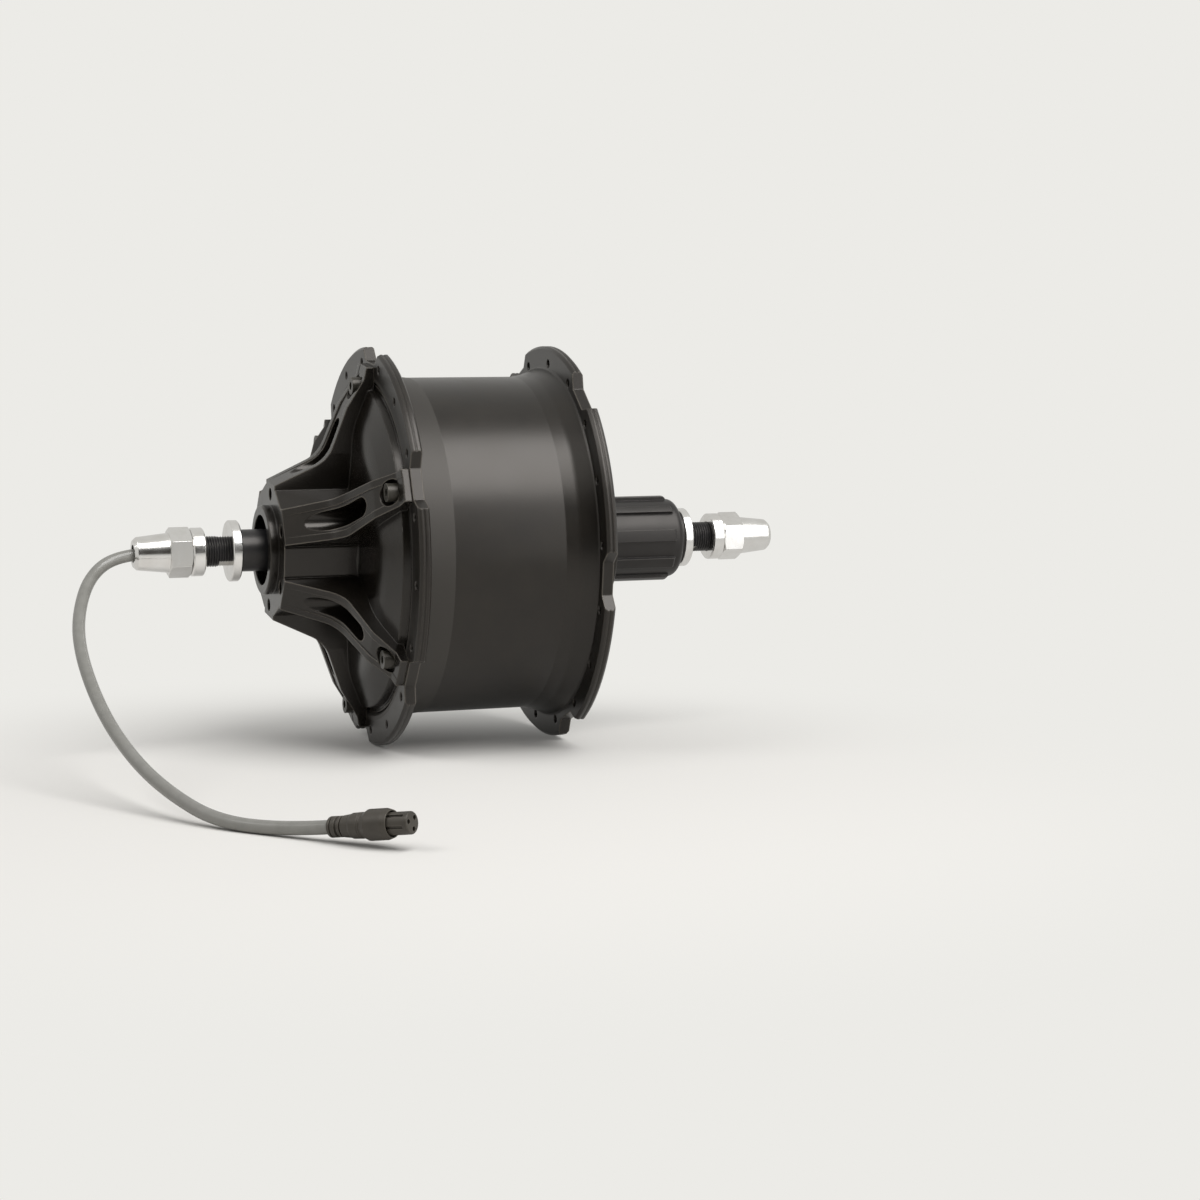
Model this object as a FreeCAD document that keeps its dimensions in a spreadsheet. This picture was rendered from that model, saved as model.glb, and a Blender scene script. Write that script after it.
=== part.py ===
import FreeCAD, Part
import Sketcher
import math
import os
import re

# Geared rear hub motor for a 190 mm frame, in millimetres.
# The axle lies along Y: the brake disc and cable side is +Y, the sprocket side is -Y, and +Z is up.
# The origin is on the axle line; the middle of the frame seats lies seat_shift towards +Y.

SIZES = {
    # axle, frame seats and end nuts
    "dropout_width": 190.0,
    "seat_shift": 2.5,
    "seat_washer_thickness": 3.7,
    "seat_washer_radius": 11.9,
    "clamp_gap": 9.9,
    "clamp_travel": 4.6,
    "collar_thickness": 5.0,
    "collar_radius": 9.4,
    "nut_length": 21.9,
    "nut_hex_length": 8.5,
    "nut_across_flats": 17.0,
    "nut_turn": 90.0,
    "nut_cone_radius": 7.7,
    "nut_tip_radius": 6.4,
    "nut_tip_wall": 3.2,
    "nut_cable_hole_radius": 3.5,
    "thread_radius": 6.0,
    "thread_pitch": 1.0,
    "thread_depth": 0.55,
    "thread_beyond_seat": 27.4,
    "axle_flat_half": 5.0,
    "axle_flat_length": 4.2,
    "axle_flat_turn": 158.0,
    "left_shoulder_radius": 8.2,
    "left_journal_radius": 8.5,
    "axle_collar_radius": 11.0,
    "axle_collar_width": 5.0,
    "axle_core_radius": 10.0,
    "axle_step_place": 0.0,
    "cable_bore_radius": 3.2,
    "cable_bore_end": 42.0,
    "lead_slot_width": 5.0,
    "lead_slot_length": 6.0,
    "gland_depth": 8.4,
    "gland_flange": 0.5,
    "gland_flange_radius": 4.4,
    # clearances
    "running_clearance": 0.08,
    "shaft_clearance": 0.15,
    "face_clearance": 0.3,
    # hub shell
    "rest_turn": 6.7,
    "drum_radius": 66.4,
    "flange_radius": 78.5,
    "drum_wall": 3.3,
    "left_band_radius": "=drum_radius + 0.107 * (flange_radius - drum_radius)",
    "left_band_width": 12.8,
    "right_flare_width": 12.1,
    "right_flare_radius": "=drum_radius + 0.2645 * (flange_radius - drum_radius)",
    "left_flange_face": 42.2,
    "right_flange_face": 30.9,
    "flange_thickness": 4.4,
    "flange_chamfer": 1.0,
    "rim_groove_depth": 0.25,
    "spoke_circle_radius": "=drum_radius + 0.5207 * (flange_radius - drum_radius)",
    "right_spoke_circle_radius": "=spoke_circle_radius - 0.6",
    "spoke_hole_radius": 1.45,
    "spoke_countersink": 0.4,
    "notch_floor_radius": "=drum_radius + 0.5455 * (flange_radius - drum_radius)",
    "notch_floor_width": 12.6,
    "notch_mouth_width": 24.4,
    "left_opening_radius": "=drum_radius - 6.4",
    "left_ring_depth": 12.0,
    "right_wall": 4.4,
    "boss_radius": 27.0,
    "boss_length": 18.7,
    "ratchet_pocket_radius": 22.0,
    "ratchet_width": 7.0,
    # side cover
    "cover_seat_depth": 2.0,
    "cover_radius": "=drum_radius - 0.9",
    "cover_rim_radius": "=drum_radius - 3",
    "cover_rim_height": 2.4,
    "cover_spigot_length": 4.2,
    "cover_wall": 4.0,
    "disc_face": 81.0,
    "disc_pilot_radius": 17.45,
    "disc_pilot_height": 3.5,
    "disc_circle_radius": 22.0,
    "disc_bolt_radius": 2.5,
    "disc_bolt_depth": 12.0,
    "neck_radius": 24.3,
    "neck_bore_radius": 13.8,
    "dome_start": 53.2,
    "panel_radius": 25.4,
    "panel_width": 10.9,
    "arm_top_radius": 26.6,
    "arm_bend_radius": 36.0,
    "arm_bend_place": 59.9,
    "arm_end_radius": 72.0,
    "arm_width": 13.0,
    "arm_bend_width": 16.8,
    "arm_rib_width": 3.0,
    "arm_rib_height": 0.4,
    "arm_bend_round": 14.0,
    "arm_boss_place": 46.6,
    "arm_pocket_start": 30.0,
    "arm_pocket_end": 51.5,
    "arm_pocket_width": 7.8,
    "screw_circle_radius": "=drum_radius - 2.4",
    "screw_radius": 2.0,
    "screw_head_radius": 3.5,
    "screw_head_height": 4.0,
    "screw_socket_across": 3.0,
    "screw_grip": 13.0,
    "spotface_radius": 5.0,
    "spotface_depth": 0.8,
    "oring_wire_radius": 0.8,
    # bearings
    "left_bearing_inner": 8.5,
    "left_bearing_outer": 15.0,
    "left_bearing_width": 7.0,
    "left_bearing_place": 65.0,
    "right_bearing_outer": 14.0,
    "right_bearing_width": 8.0,
    "rotor_bearing_outer": 10.5,
    "rotor_bearing_width": 5.0,
    "freehub_bearing_outer": 12.0,
    "freehub_bearing_width": 6.0,
    "seal_width": 4.0,
    # gears
    "gear_module": 1.0,
    "sun_teeth": 18,
    "planet_teeth": 36,
    "planet_count": 3,
    "gear_width": 13.0,
    "gear_backlash": 0.16,
    "planet_pin_radius": 4.0,
    "carrier_radius": 36.0,
    "carrier_thickness": 3.5,
    "carrier_hub_radius": 16.0,
    "clutch_race_radius": 8.0,
    "clutch_roller_radius": 1.5,
    "clutch_roller_count": 8,
    "carrier_ring_thickness": 1.6,
    "ring_gear_radius": 50.5,
    "ring_flange_radius": "=drum_radius - drum_wall - 5.1",
    "ring_flange_thickness": 3.8,
    "ring_screw_circle": "=0.5 * ring_gear_radius + 0.5 * ring_flange_radius + 0.05",
    "ring_screw_depth": 3.0,
    # motor
    "stator_place": 2.0,
    "stator_stack": 22.0,
    "stator_radius": 50.2,
    "stator_yoke_outer": 41.0,
    "stator_yoke_inner": 36.0,
    "stator_teeth": 18,
    "tooth_width": 5.0,
    "coil_thickness": 2.0,
    "air_gap": 0.6,
    "magnet_thickness": 2.8,
    "magnet_count": 22,
    "magnet_gap": 0.8,
    "rotor_wall": 2.8,
    "rotor_disc_thickness": 4.0,
    "rotor_rim_end": 26.0,
    "board_place": 28.5,
    "board_thickness": 1.6,
    "board_radius": 46.0,
    "circlip_thickness": 1.2,
    # freehub
    "freehub_length": 32.7,
    "freehub_end": 87.2,
    "freehub_end_round": 3.0,
    "spline_end_step": 4.2,
    "spline_base_radius": 15.9,
    "spline_radius": 17.3,
    "spline_count": 9,
    "spline_width": 4.6,
    "spline_narrow_width": 3.2,
    "spline_turn": 42.0,
    "pawl_drum_radius": 18.8,
    "ratchet_teeth": 24,
    "ratchet_tip_radius": 19.5,
    "ratchet_root_radius": 20.9,
    "pawl_pivot_radius": 16.9,
    "pawl_reach": 20.2,
    "pawl_tip_turn": 21.3,
    "pawl_swing": 20.0,
    "pawl_catch_turn": 2.8,
    "pawl_thickness": 2.2,
    "pawl_width": 3.4,
    "lock_ring_radius": 11.6,
    # cord and plug
    "cord_radius": 2.35,
    "plug_length": 31.4,
    "plug_tail_radius": 3.5,
    "plug_body_radius": 4.3,
    "plug_collar_radius": 5.15,
    "plug_nose_radius": 3.75,
    "plug_nose_length": 7.6,
    "plug_recess_depth": 2.2,
    "plug_recess_radius": 4.25,
    "plug_pin_hole_radius": 0.85,
}

doc = FreeCAD.newDocument("hub_motor")
sheet = doc.addObject("Spreadsheet::Sheet", "Dim")
for row, (name, number) in enumerate(SIZES.items(), start=1):
    sheet.set(f"A{row}", name)
    sheet.set(f"B{row}", str(number))
    sheet.setAlias(f"B{row}", name)
doc.recompute()

Vector = FreeCAD.Vector
Rotation = FreeCAD.Rotation
Placement = FreeCAD.Placement
AXLE_LINE = Vector(0, 1, 0)
ALONG = Rotation(Vector(1, 0, 0), -90)
OUTWARD = Rotation(Vector(1, 0, 0), 90)
nodes = []


def formula(text):
    """Write the sheet's name before each size that a formula mentions."""
    return re.sub(r"[a-z_]{2,}", lambda word: "Dim." + word[0] if word[0] in SIZES else word[0], str(text))


def size(text):
    """The number that a formula of sizes comes to."""
    return float(sheet.evalExpression(formula(text)))


def bind(item, **formulas):
    """Tie an object's properties to formulas of the sheet's sizes."""
    for name, text in formulas.items():
        item.setExpression(name.replace("__", "."), formula(text))


def place(item, y="0", radius="0", angle="0", turn=Rotation()):
    """Put an object at a distance along the axle, a radius and an angle from the top."""
    item.Placement = Placement(Vector(), Rotation(AXLE_LINE, -size(angle)).multiply(turn))
    bind(item, Placement__Base__x=f"-({radius}) * sin({angle})", Placement__Base__y=y,
         Placement__Base__z=f"({radius}) * cos({angle})")
    return item


def constrain_corner(sketch, geometry, end, x, y):
    """Fix a point of a sketch at two formulas."""
    for kind, text, axis in (("DistanceX", x, -2), ("DistanceY", y, -1)):
        if abs(size(text)) < 1e-9:
            sketch.addConstraint(Sketcher.Constraint("PointOnObject", geometry, end, axis))
        else:
            index = sketch.addConstraint(Sketcher.Constraint(kind, -1, 1, geometry, end, size(text)))
            sketch.setExpression(f"Constraints[{index}]", formula(text))


def draw_outline(sketch, corners):
    """Draw a closed outline through corners (x, y) or (x, y, round), each a formula."""
    count = len(corners)
    points = [Vector(size(corner[0]), size(corner[1]), 0) for corner in corners]
    rounds = [size(corner[2]) if len(corner) > 2 else 0.0 for corner in corners]
    before, after = [], []
    for i, point in enumerate(points):
        into = (points[i - 1] - point).normalize()
        out = (points[(i + 1) % count] - point).normalize()
        reach = rounds[i] / math.tan(into.getAngle(out) / 2) if rounds[i] else 0.0
        before.append(point + into * reach)
        after.append(point + out * reach)
    for i in range(count):
        sketch.addGeometry(Part.LineSegment(after[i], before[(i + 1) % count]), False)
    for i, (x, y, *_) in enumerate(corners):
        line_in, line_out = (i - 1) % count, i
        if not rounds[i]:
            sketch.addConstraint(Sketcher.Constraint("Coincident", line_in, 2, line_out, 1))
            constrain_corner(sketch, line_out, 1, x, y)
            continue
        into = (points[i - 1] - points[i]).normalize()
        out = (points[(i + 1) % count] - points[i]).normalize()
        centre = points[i] + (into + out).normalize() * (rounds[i] / math.sin(into.getAngle(out) / 2))
        left_turn = into.cross(out).z < 0
        first, last = (before[i], after[i]) if left_turn else (after[i], before[i])
        angles = [math.atan2((p - centre).y, (p - centre).x) for p in (first, last)]
        circle = Part.Circle(centre, Vector(0, 0, 1), rounds[i])
        arc = sketch.addGeometry(Part.ArcOfCircle(circle, *angles), False)
        starts = (1, 2) if left_turn else (2, 1)
        sketch.addConstraint(Sketcher.Constraint("Tangent", line_in, 2, arc, starts[0]))
        sketch.addConstraint(Sketcher.Constraint("Tangent", arc, starts[1], line_out, 1))
        index = sketch.addConstraint(Sketcher.Constraint("Radius", arc, rounds[i]))
        sketch.setExpression(f"Constraints[{index}]", formula(corners[i][2]))
        corner = sketch.addGeometry(Part.Point(points[i]), True)
        constrain_corner(sketch, corner, 1, x, y)
        sketch.addConstraint(Sketcher.Constraint("PointOnObject", corner, 1, line_in))
        sketch.addConstraint(Sketcher.Constraint("PointOnObject", corner, 1, line_out))


def turned(label, start, corners):
    """A body turned about the axle line; corners are (radius, place along Y, round)."""
    body = doc.addObject("PartDesign::Body", label)
    plane = next(item for item in body.Origin.OriginFeatures if item.Role == "XY_Plane")
    sketch = body.newObject("Sketcher::SketchObject", label + "_outline")
    sketch.AttachmentSupport = (plane, [""])
    sketch.MapMode = "FlatFace"
    draw_outline(sketch, [(r, f"{y} - ({start})", *more) for r, y, *more in corners])
    turn = body.newObject("PartDesign::Revolution", label + "_turn")
    turn.Profile = sketch
    turn.ReferenceAxis = (sketch, ["V_Axis"])
    turn.Angle = 360
    bind(body, Placement__Base__y=start)
    return body


def tube(label, inner, outer, start, end, edge="0"):
    """A plain turned ring, its outer edges chamfered by a small amount."""
    corners = [(inner, start), (outer, start), (outer, end), (inner, end)]
    if size(edge):
        corners = [(inner, start), (f"{outer} - {edge}", start), (outer, f"{start} + {edge}"),
                   (outer, f"{end} - {edge}"), (f"{outer} - {edge}", end), (inner, end)]
    return turned(label, start, corners)


def rod(label, radius, start, end, at="0", angle="0"):
    """A cylinder parallel to the axle."""
    item = doc.addObject("Part::Cylinder", label)
    bind(item, Radius=radius, Height=f"({end}) - ({start})")
    return place(item, start, at, angle, ALONG)


def block(label, width, inner, outer, start, end, angle="0", outer_width=None):
    """A block standing out from the axle line, from one radius to another."""
    item = doc.addObject("Part::Wedge", label)
    wide = outer_width or width
    bind(item, Ymin=inner, Ymax=outer, Xmin=f"-({width}) / 2", Xmax=f"({width}) / 2",
         X2min=f"-({wide}) / 2", X2max=f"({wide}) / 2", Zmin=f"-({end})", Zmax=f"-({start})",
         Z2min=f"-({end})", Z2max=f"-({start})")
    return place(item, angle=angle, turn=OUTWARD)


def ball(label, radius, y, at, angle="0"):
    """A sphere beside the axle line."""
    item = doc.addObject("Part::Sphere", label)
    bind(item, Radius=radius)
    return place(item, y, at, angle)


def joined(label, items):
    """Several objects made one solid."""
    item = doc.addObject("Part::MultiFuse", label)
    item.Shapes = items
    item.Refine = True
    return item


def grouped(label, items):
    """Several separate solids kept together."""
    item = doc.addObject("Part::Compound", label)
    item.Links = items
    return item


def cut(label, base, tools):
    """One object less the room that the tools take."""
    item = doc.addObject("Part::Cut", label)
    item.Base = base
    item.Tool = tools[0] if len(tools) == 1 else grouped(label + "_tools", tools)
    return item


def common(label, one, other):
    """The room that two objects share."""
    item = doc.addObject("Part::Common", label)
    item.Base = one
    item.Tool = other
    return item


def shape_of(item):
    """An object's shape, worked out first."""
    doc.recompute()
    return item.Shape.copy()


def as_feature(label, shape):
    """A shape worked out in this file, kept as an object."""
    item = doc.addObject("Part::Feature", label)
    item.Shape = shape
    return item


def around(label, item, count, first=0.0):
    """Copies of an object, evenly spaced round the axle."""
    shape = shape_of(item)
    copies = []
    for i in range(count):
        copy = shape.copy()
        copy.rotate(Vector(), AXLE_LINE, -(first + i * 360.0 / count))
        copies.append(copy)
    return as_feature(label, Part.makeCompound(copies))


def keep(name, item):
    """Name an object as a sub-part that is written out."""
    item.Label = name
    nodes.append((name, item))
    return item


def radial(radius, angle):
    """A point on the plane across the axle, the angle counted from the top towards -X."""
    turn = math.radians(angle)
    return Vector(-radius * math.sin(turn), 0, radius * math.cos(turn))


# Places that follow from the sizes
left_seat = "(dropout_width / 2 + seat_shift)"
right_seat = "(dropout_width / 2 - seat_shift)"
left_seat_inside = f"({left_seat} - seat_washer_thickness)"
right_seat_inside = f"({right_seat} - seat_washer_thickness)"
left_axle_end = f"({left_seat} + thread_beyond_seat)"
right_axle_end = f"({right_seat} + thread_beyond_seat)"
thread_bore = "(thread_radius + running_clearance)"
left_bearing_end = "(left_bearing_place + left_bearing_width)"
right_inner_face = "right_flange_face"
right_outer_face = "(right_flange_face + right_wall)"
boss_end = f"({right_outer_face} + boss_length)"
ratchet_end = f"({boss_end} - face_clearance)"
ratchet_start = f"({ratchet_end} - ratchet_width)"
right_bearing_end = f"({ratchet_start} - face_clearance)"
right_bearing_start = f"({right_bearing_end} - right_bearing_width)"
carrier_end = f"({right_inner_face} - 2 * face_clearance)"
carrier_start = f"({carrier_end} - carrier_thickness)"
gear_end = f"({carrier_start} - face_clearance)"
gear_start = f"({gear_end} - gear_width)"
sun_pitch = "(gear_module * sun_teeth / 2)"
planet_pitch = "(gear_module * planet_teeth / 2)"
ring_teeth = "(sun_teeth + 2 * planet_teeth)"
ring_pitch = f"(gear_module * {ring_teeth} / 2)"
planet_circle = f"({sun_pitch} + {planet_pitch})"
rotor_bearing_start = "(axle_step_place - rotor_bearing_width)"
rotor_disc_start = f"({rotor_bearing_start} - rotor_disc_thickness)"
magnet_inner = "(stator_radius + air_gap)"
magnet_outer = f"({magnet_inner} + magnet_thickness)"
rotor_outer = f"({magnet_outer} + rotor_wall)"
sun_shaft_radius = f"({sun_pitch} - 1.3 * gear_module)"
cover_seat = "(left_flange_face - cover_seat_depth)"
freehub_start = "(freehub_end - freehub_length)"
pawl_start = f"({freehub_start} - face_clearance - ratchet_width)"

# Axle: one turned steel bar, threaded at both ends and hollow at the cable end
axle_bar = turned("axle_bar", f"-{right_axle_end}", [
    ("0", f"-{right_axle_end}"),
    ("thread_radius - thread_pitch", f"-{right_axle_end}"),
    ("thread_radius", f"-{right_axle_end} + thread_pitch"),
    ("thread_radius", "axle_step_place"),
    ("axle_core_radius", "axle_step_place"),
    ("axle_core_radius", "left_bearing_place - axle_collar_width"),
    ("axle_collar_radius", "left_bearing_place - axle_collar_width"),
    ("axle_collar_radius", "left_bearing_place"),
    ("left_journal_radius", "left_bearing_place"),
    ("left_journal_radius", f"{left_bearing_end} + face_clearance"),
    ("left_shoulder_radius", f"{left_bearing_end} + face_clearance"),
    ("left_shoulder_radius", left_seat_inside),
    ("thread_radius", left_seat_inside),
    ("thread_radius", f"{left_axle_end} - thread_pitch"),
    ("thread_radius - thread_pitch", left_axle_end),
    ("cable_bore_radius", left_axle_end),
    ("cable_bore_radius", "cable_bore_end"),
    ("0", "cable_bore_end"),
])
axle_tools = []
for low, high in ((left_seat_inside, f"{left_seat} + axle_flat_length"),
                  (f"-{right_seat} - axle_flat_length", f"-{right_seat_inside}")):
    for turn in ("axle_flat_turn", "axle_flat_turn + 180"):
        axle_tools.append(block(f"flat_{len(axle_tools)}", "4 * thread_radius", "axle_flat_half",
                                "2 * thread_radius", low, high, turn))
key_start, key_end = "(stator_place + 2)", "(stator_place + stator_stack - 2)"
key_width = "axle_core_radius * 0.4"
lead_slot = block("lead_slot", "lead_slot_width", "0", "2 * axle_core_radius", "cable_bore_end",
                  "cable_bore_end + lead_slot_length")
key_seat = block("key_seat", key_width, "0.8 * axle_core_radius", "2 * axle_core_radius",
                 key_start, key_end, "180")
circlip_start = "(board_place + board_thickness)"
circlip_end = f"({circlip_start} + circlip_thickness)"
circlip_seat = tube("circlip_seat", "0.93 * axle_core_radius", "2 * axle_core_radius", circlip_start,
                    circlip_end)


def thread_grooves(label, start, end):
    """Rings cut to the depth of the thread, one to each turn."""
    pitch, crest = size("thread_pitch"), size("thread_radius")
    root = crest - size("thread_depth")
    first, last = size(start), size(end)
    turns = int((last - first) / pitch)
    outline = [Vector(crest + 1, first, 0)]
    for i in range(turns):
        low = first + i * pitch
        outline += [Vector(crest, low + 0.06 * pitch, 0), Vector(root, low + 0.44 * pitch, 0),
                    Vector(root, low + 0.56 * pitch, 0), Vector(crest, low + 0.94 * pitch, 0)]
    outline += [Vector(crest, first + turns * pitch, 0), Vector(crest + 1, first + turns * pitch, 0)]
    face = Part.Face(Part.makePolygon(outline + outline[:1]))
    return as_feature(label, face.revolve(Vector(), AXLE_LINE, 360))


axle_tools += [lead_slot, key_seat, circlip_seat]
axle_tools.append(thread_grooves("left_grooves", left_seat, f"{left_axle_end} - thread_pitch"))
axle_tools.append(thread_grooves("right_grooves", f"-{right_axle_end} + thread_pitch", f"-{right_seat}"))
axle_cut = axle_bar
for number, tool in enumerate(axle_tools):
    axle_cut = cut(f"axle_step_{number}", axle_cut, [tool])
keep("axle", axle_cut)
keep("axle_key", block("axle_key", key_width, "0.8 * axle_core_radius", "1.2 * axle_core_radius",
                       key_start, key_end, "180"))


# Washers and nuts at the two ends: seat washer, thick outer washer and long cap nut
def end_set(side):
    """The washers and the cap nut of one end; side is +1 for the cable end."""
    name = "left" if side > 0 else "right"
    seat = left_seat if side > 0 else right_seat
    collar_face = f"({seat} + clamp_gap)"
    nut_face = f"({collar_face} + collar_thickness + running_clearance)"
    nut_tip = f"({collar_face} + collar_thickness + nut_length)"

    def span(near, far):
        return (near, far) if side > 0 else (f"-({far})", f"-({near})")

    low, high = span(f"{seat} - seat_washer_thickness", seat)
    disc = tube(name + "_seat_disc", "0", "seat_washer_radius", low, high, "0.4")
    hole = rod(name + "_seat_hole", thread_bore, f"{low} - 1", f"{high} + 1")
    slab = block(name + "_seat_slab", "4 * thread_radius", "-(axle_flat_half + running_clearance)",
                 "axle_flat_half + running_clearance", f"{low} - 1", f"{high} + 1", "axle_flat_turn")
    keep(name + "_seat_washer", cut(name + "_seat_washer", disc, [common(name + "_seat_bore", hole, slab)]))

    low, high = span(collar_face, f"({collar_face} + collar_thickness)")
    keep(name + "_collar", tube(name + "_collar", thread_bore, "collar_radius", low, high, "0.5"))

    hex_corner = "(nut_across_flats / 2 / cos(30))"
    hex_far = f"({nut_face} + nut_hex_length)"
    low, high = span(nut_face, hex_far)
    prism = doc.addObject("Part::Prism", name + "_hex")
    prism.Polygon = 6
    bind(prism, Circumradius=hex_corner, Height=f"{high} - ({low})")
    place(prism, low, angle="nut_turn", turn=ALONG)
    bevel = "(nut_across_flats * 0.035)"
    barrel = turned(name + "_hex_barrel", low, [
        ("0", low), (f"{hex_corner} - 2 * {bevel}", low), (hex_corner, f"{low} + {bevel}"),
        (hex_corner, f"{high} - {bevel}"), (f"{hex_corner} - 2 * {bevel}", high), ("0", high)])
    hexagon = common(name + "_hex_body", prism, barrel)
    near, far = (hex_far, nut_tip) if side > 0 else (f"-({nut_tip})", f"-({hex_far})")
    wide, slim = ("nut_cone_radius", "nut_tip_radius")
    corners = [("0", near), (wide, near), (slim, f"{far} - 0.2 * nut_tip_radius", "0.9"),
               ("0.82 * nut_tip_radius", far), ("0", far)]
    if side < 0:
        corners = [("0", near), ("0.82 * nut_tip_radius", near),
                   (slim, f"{near} + 0.2 * nut_tip_radius", "0.9"), (wide, far), ("0", far)]
    cone = turned(name + "_cone", near, corners)
    bore_end = f"({nut_tip} - nut_tip_wall)"
    tools = [rod(name + "_nut_bore", thread_bore, *span(f"{nut_face} - 1", bore_end))]
    if side > 0:
        tools.append(rod("cable_hole", "nut_cable_hole_radius", nut_face, f"{nut_tip} + 1"))
        tools = [joined("left_nut_bores", tools)]
    keep(name + "_nut", cut(name + "_nut", joined(name + "_nut_blank", [hexagon, cone]), tools))


end_set(1)
end_set(-1)

# Hub shell: cast aluminium drum with both spoke flanges, the right wall and its boss
left_flange_back = "(left_flange_face - flange_thickness)"
right_flange_back = "(right_flange_face + flange_thickness)"
drum_inner = "(drum_radius - drum_wall)"
shell_blank = turned("shell_blank", f"-{boss_end}", [
    ("ratchet_pocket_radius", f"-{boss_end}"),
    ("boss_radius", f"-{boss_end}", "0.8"),
    ("boss_radius + 2", f"-{right_outer_face} - 0.5 * boss_length", "6"),
    ("boss_radius + 14", f"-{right_outer_face} - 2.4", "8"),
    ("drum_radius", f"-{right_outer_face}"),
    ("flange_radius - flange_chamfer", f"-{right_flange_back}"),
    ("flange_radius", f"-{right_flange_back} + flange_chamfer"),
    ("flange_radius", f"-{right_flange_back} + 0.4 * flange_thickness"),
    ("flange_radius - rim_groove_depth", f"-{right_flange_back} + 0.45 * flange_thickness"),
    ("flange_radius - rim_groove_depth", f"-{right_flange_back} + 0.55 * flange_thickness"),
    ("flange_radius", f"-{right_flange_back} + 0.6 * flange_thickness"),
    ("flange_radius", "-right_flange_face - flange_chamfer"),
    ("flange_radius - flange_chamfer", "-right_flange_face"),
    ("right_flare_radius + 0.6", "-right_flange_face"),
    ("right_flare_radius", "-right_flange_face + 0.6"),
    ("drum_radius + 0.9", "-right_flange_face + 0.55 * right_flare_width", "8"),
    ("drum_radius", "-right_flange_face + right_flare_width"),
    ("drum_radius", f"{left_flange_back} - left_band_width"),
    ("left_band_radius", f"{left_flange_back}", "1.2"),
    ("flange_radius - 0.6 * flange_chamfer", left_flange_back),
    ("flange_radius", f"{left_flange_back} + 0.6 * flange_chamfer"),
    ("flange_radius", f"{left_flange_back} + 0.4 * flange_thickness"),
    ("flange_radius - rim_groove_depth", f"{left_flange_back} + 0.45 * flange_thickness"),
    ("flange_radius - rim_groove_depth", f"{left_flange_back} + 0.55 * flange_thickness"),
    ("flange_radius", f"{left_flange_back} + 0.6 * flange_thickness"),
    ("flange_radius", "left_flange_face - flange_chamfer"),
    ("flange_radius - flange_chamfer", "left_flange_face"),
    ("cover_radius + 1.4", "left_flange_face"),
    ("cover_radius + 0.2", "left_flange_face - 1.2"),
    ("cover_radius + 0.2", cover_seat),
    ("left_opening_radius", cover_seat),
    ("left_opening_radius", f"{cover_seat} - left_ring_depth"),
    (drum_inner, f"{cover_seat} - left_ring_depth - 3"),
    (drum_inner, f"-{right_inner_face}"),
    ("carrier_hub_radius + 3", f"-{right_inner_face}"),
    ("carrier_hub_radius + 3", f"-{right_bearing_start} + 1.5"),
    ("right_bearing_outer - 1.5", f"-{right_bearing_start} + 1.5"),
    ("right_bearing_outer - 1.5", f"-{right_bearing_start}"),
    ("right_bearing_outer", f"-{right_bearing_start}"),
    ("right_bearing_outer", f"-{ratchet_start}"),
    ("ratchet_pocket_radius", f"-{ratchet_start}"),
])


def notches(label, low, high, first):
    """The six sloped notches in a flange's edge."""
    reach = "(flange_radius - notch_floor_radius + 4)"
    slope = "((notch_mouth_width - notch_floor_width) / (flange_radius - notch_floor_radius))"
    tool = block(label + "_tool", "notch_floor_width", "notch_floor_radius",
                 f"notch_floor_radius + {reach}", f"{low} - 1", f"{high} + 1",
                 outer_width=f"notch_floor_width + {slope} * {reach}")
    return around(label, tool, 6, first)


def spoke_hole(label, low, high, circle):
    """A spoke hole through a flange, countersunk on both faces."""
    wide = "(spoke_hole_radius + spoke_countersink + 0.2)"
    tools = [rod(label + "_bore", "spoke_hole_radius", f"{low} - 1", f"{high} + 1", circle)]
    for end, first, last, start in (("low", wide, "spoke_hole_radius", f"{low} - 0.2"),
                                    ("high", "spoke_hole_radius", wide, f"{high} - spoke_countersink")):
        cone = doc.addObject("Part::Cone", f"{label}_{end}_cone")
        bind(cone, Radius1=first, Radius2=last, Height="spoke_countersink + 0.2")
        tools.append(place(cone, start, circle, turn=ALONG))
    return joined(label, tools)


turn = size("rest_turn")
left_holes = spoke_hole("left_hole", left_flange_back, "left_flange_face", "spoke_circle_radius")
right_holes = spoke_hole("right_hole", f"-{right_flange_back}", "-right_flange_face",
                         "right_spoke_circle_radius")
screw_hole = rod("screw_hole", "screw_radius", f"{cover_seat} - screw_grip", f"{cover_seat} + 1",
                 "screw_circle_radius")
ring_hole = rod("ring_hole", "screw_radius", f"-{right_inner_face} - ring_screw_depth - 0.4",
                f"-{right_inner_face} + 1", "ring_screw_circle")
shell_cut = cut("shell_notched", shell_blank, [
    notches("left_notches", left_flange_back, "left_flange_face", turn),
    notches("right_notches", f"-{right_flange_back}", "-right_flange_face", turn + 30)])
shell_tools = [around("left_spoke_holes", left_holes, 18, turn + 10),
               around("right_spoke_holes", right_holes, 18, turn),
               around("cover_screw_holes", screw_hole, 6, turn),
               around("ring_screw_holes", ring_hole, 6, turn + 30)]
keep("hub_shell", cut("hub_shell", shell_cut, shell_tools))

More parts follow.
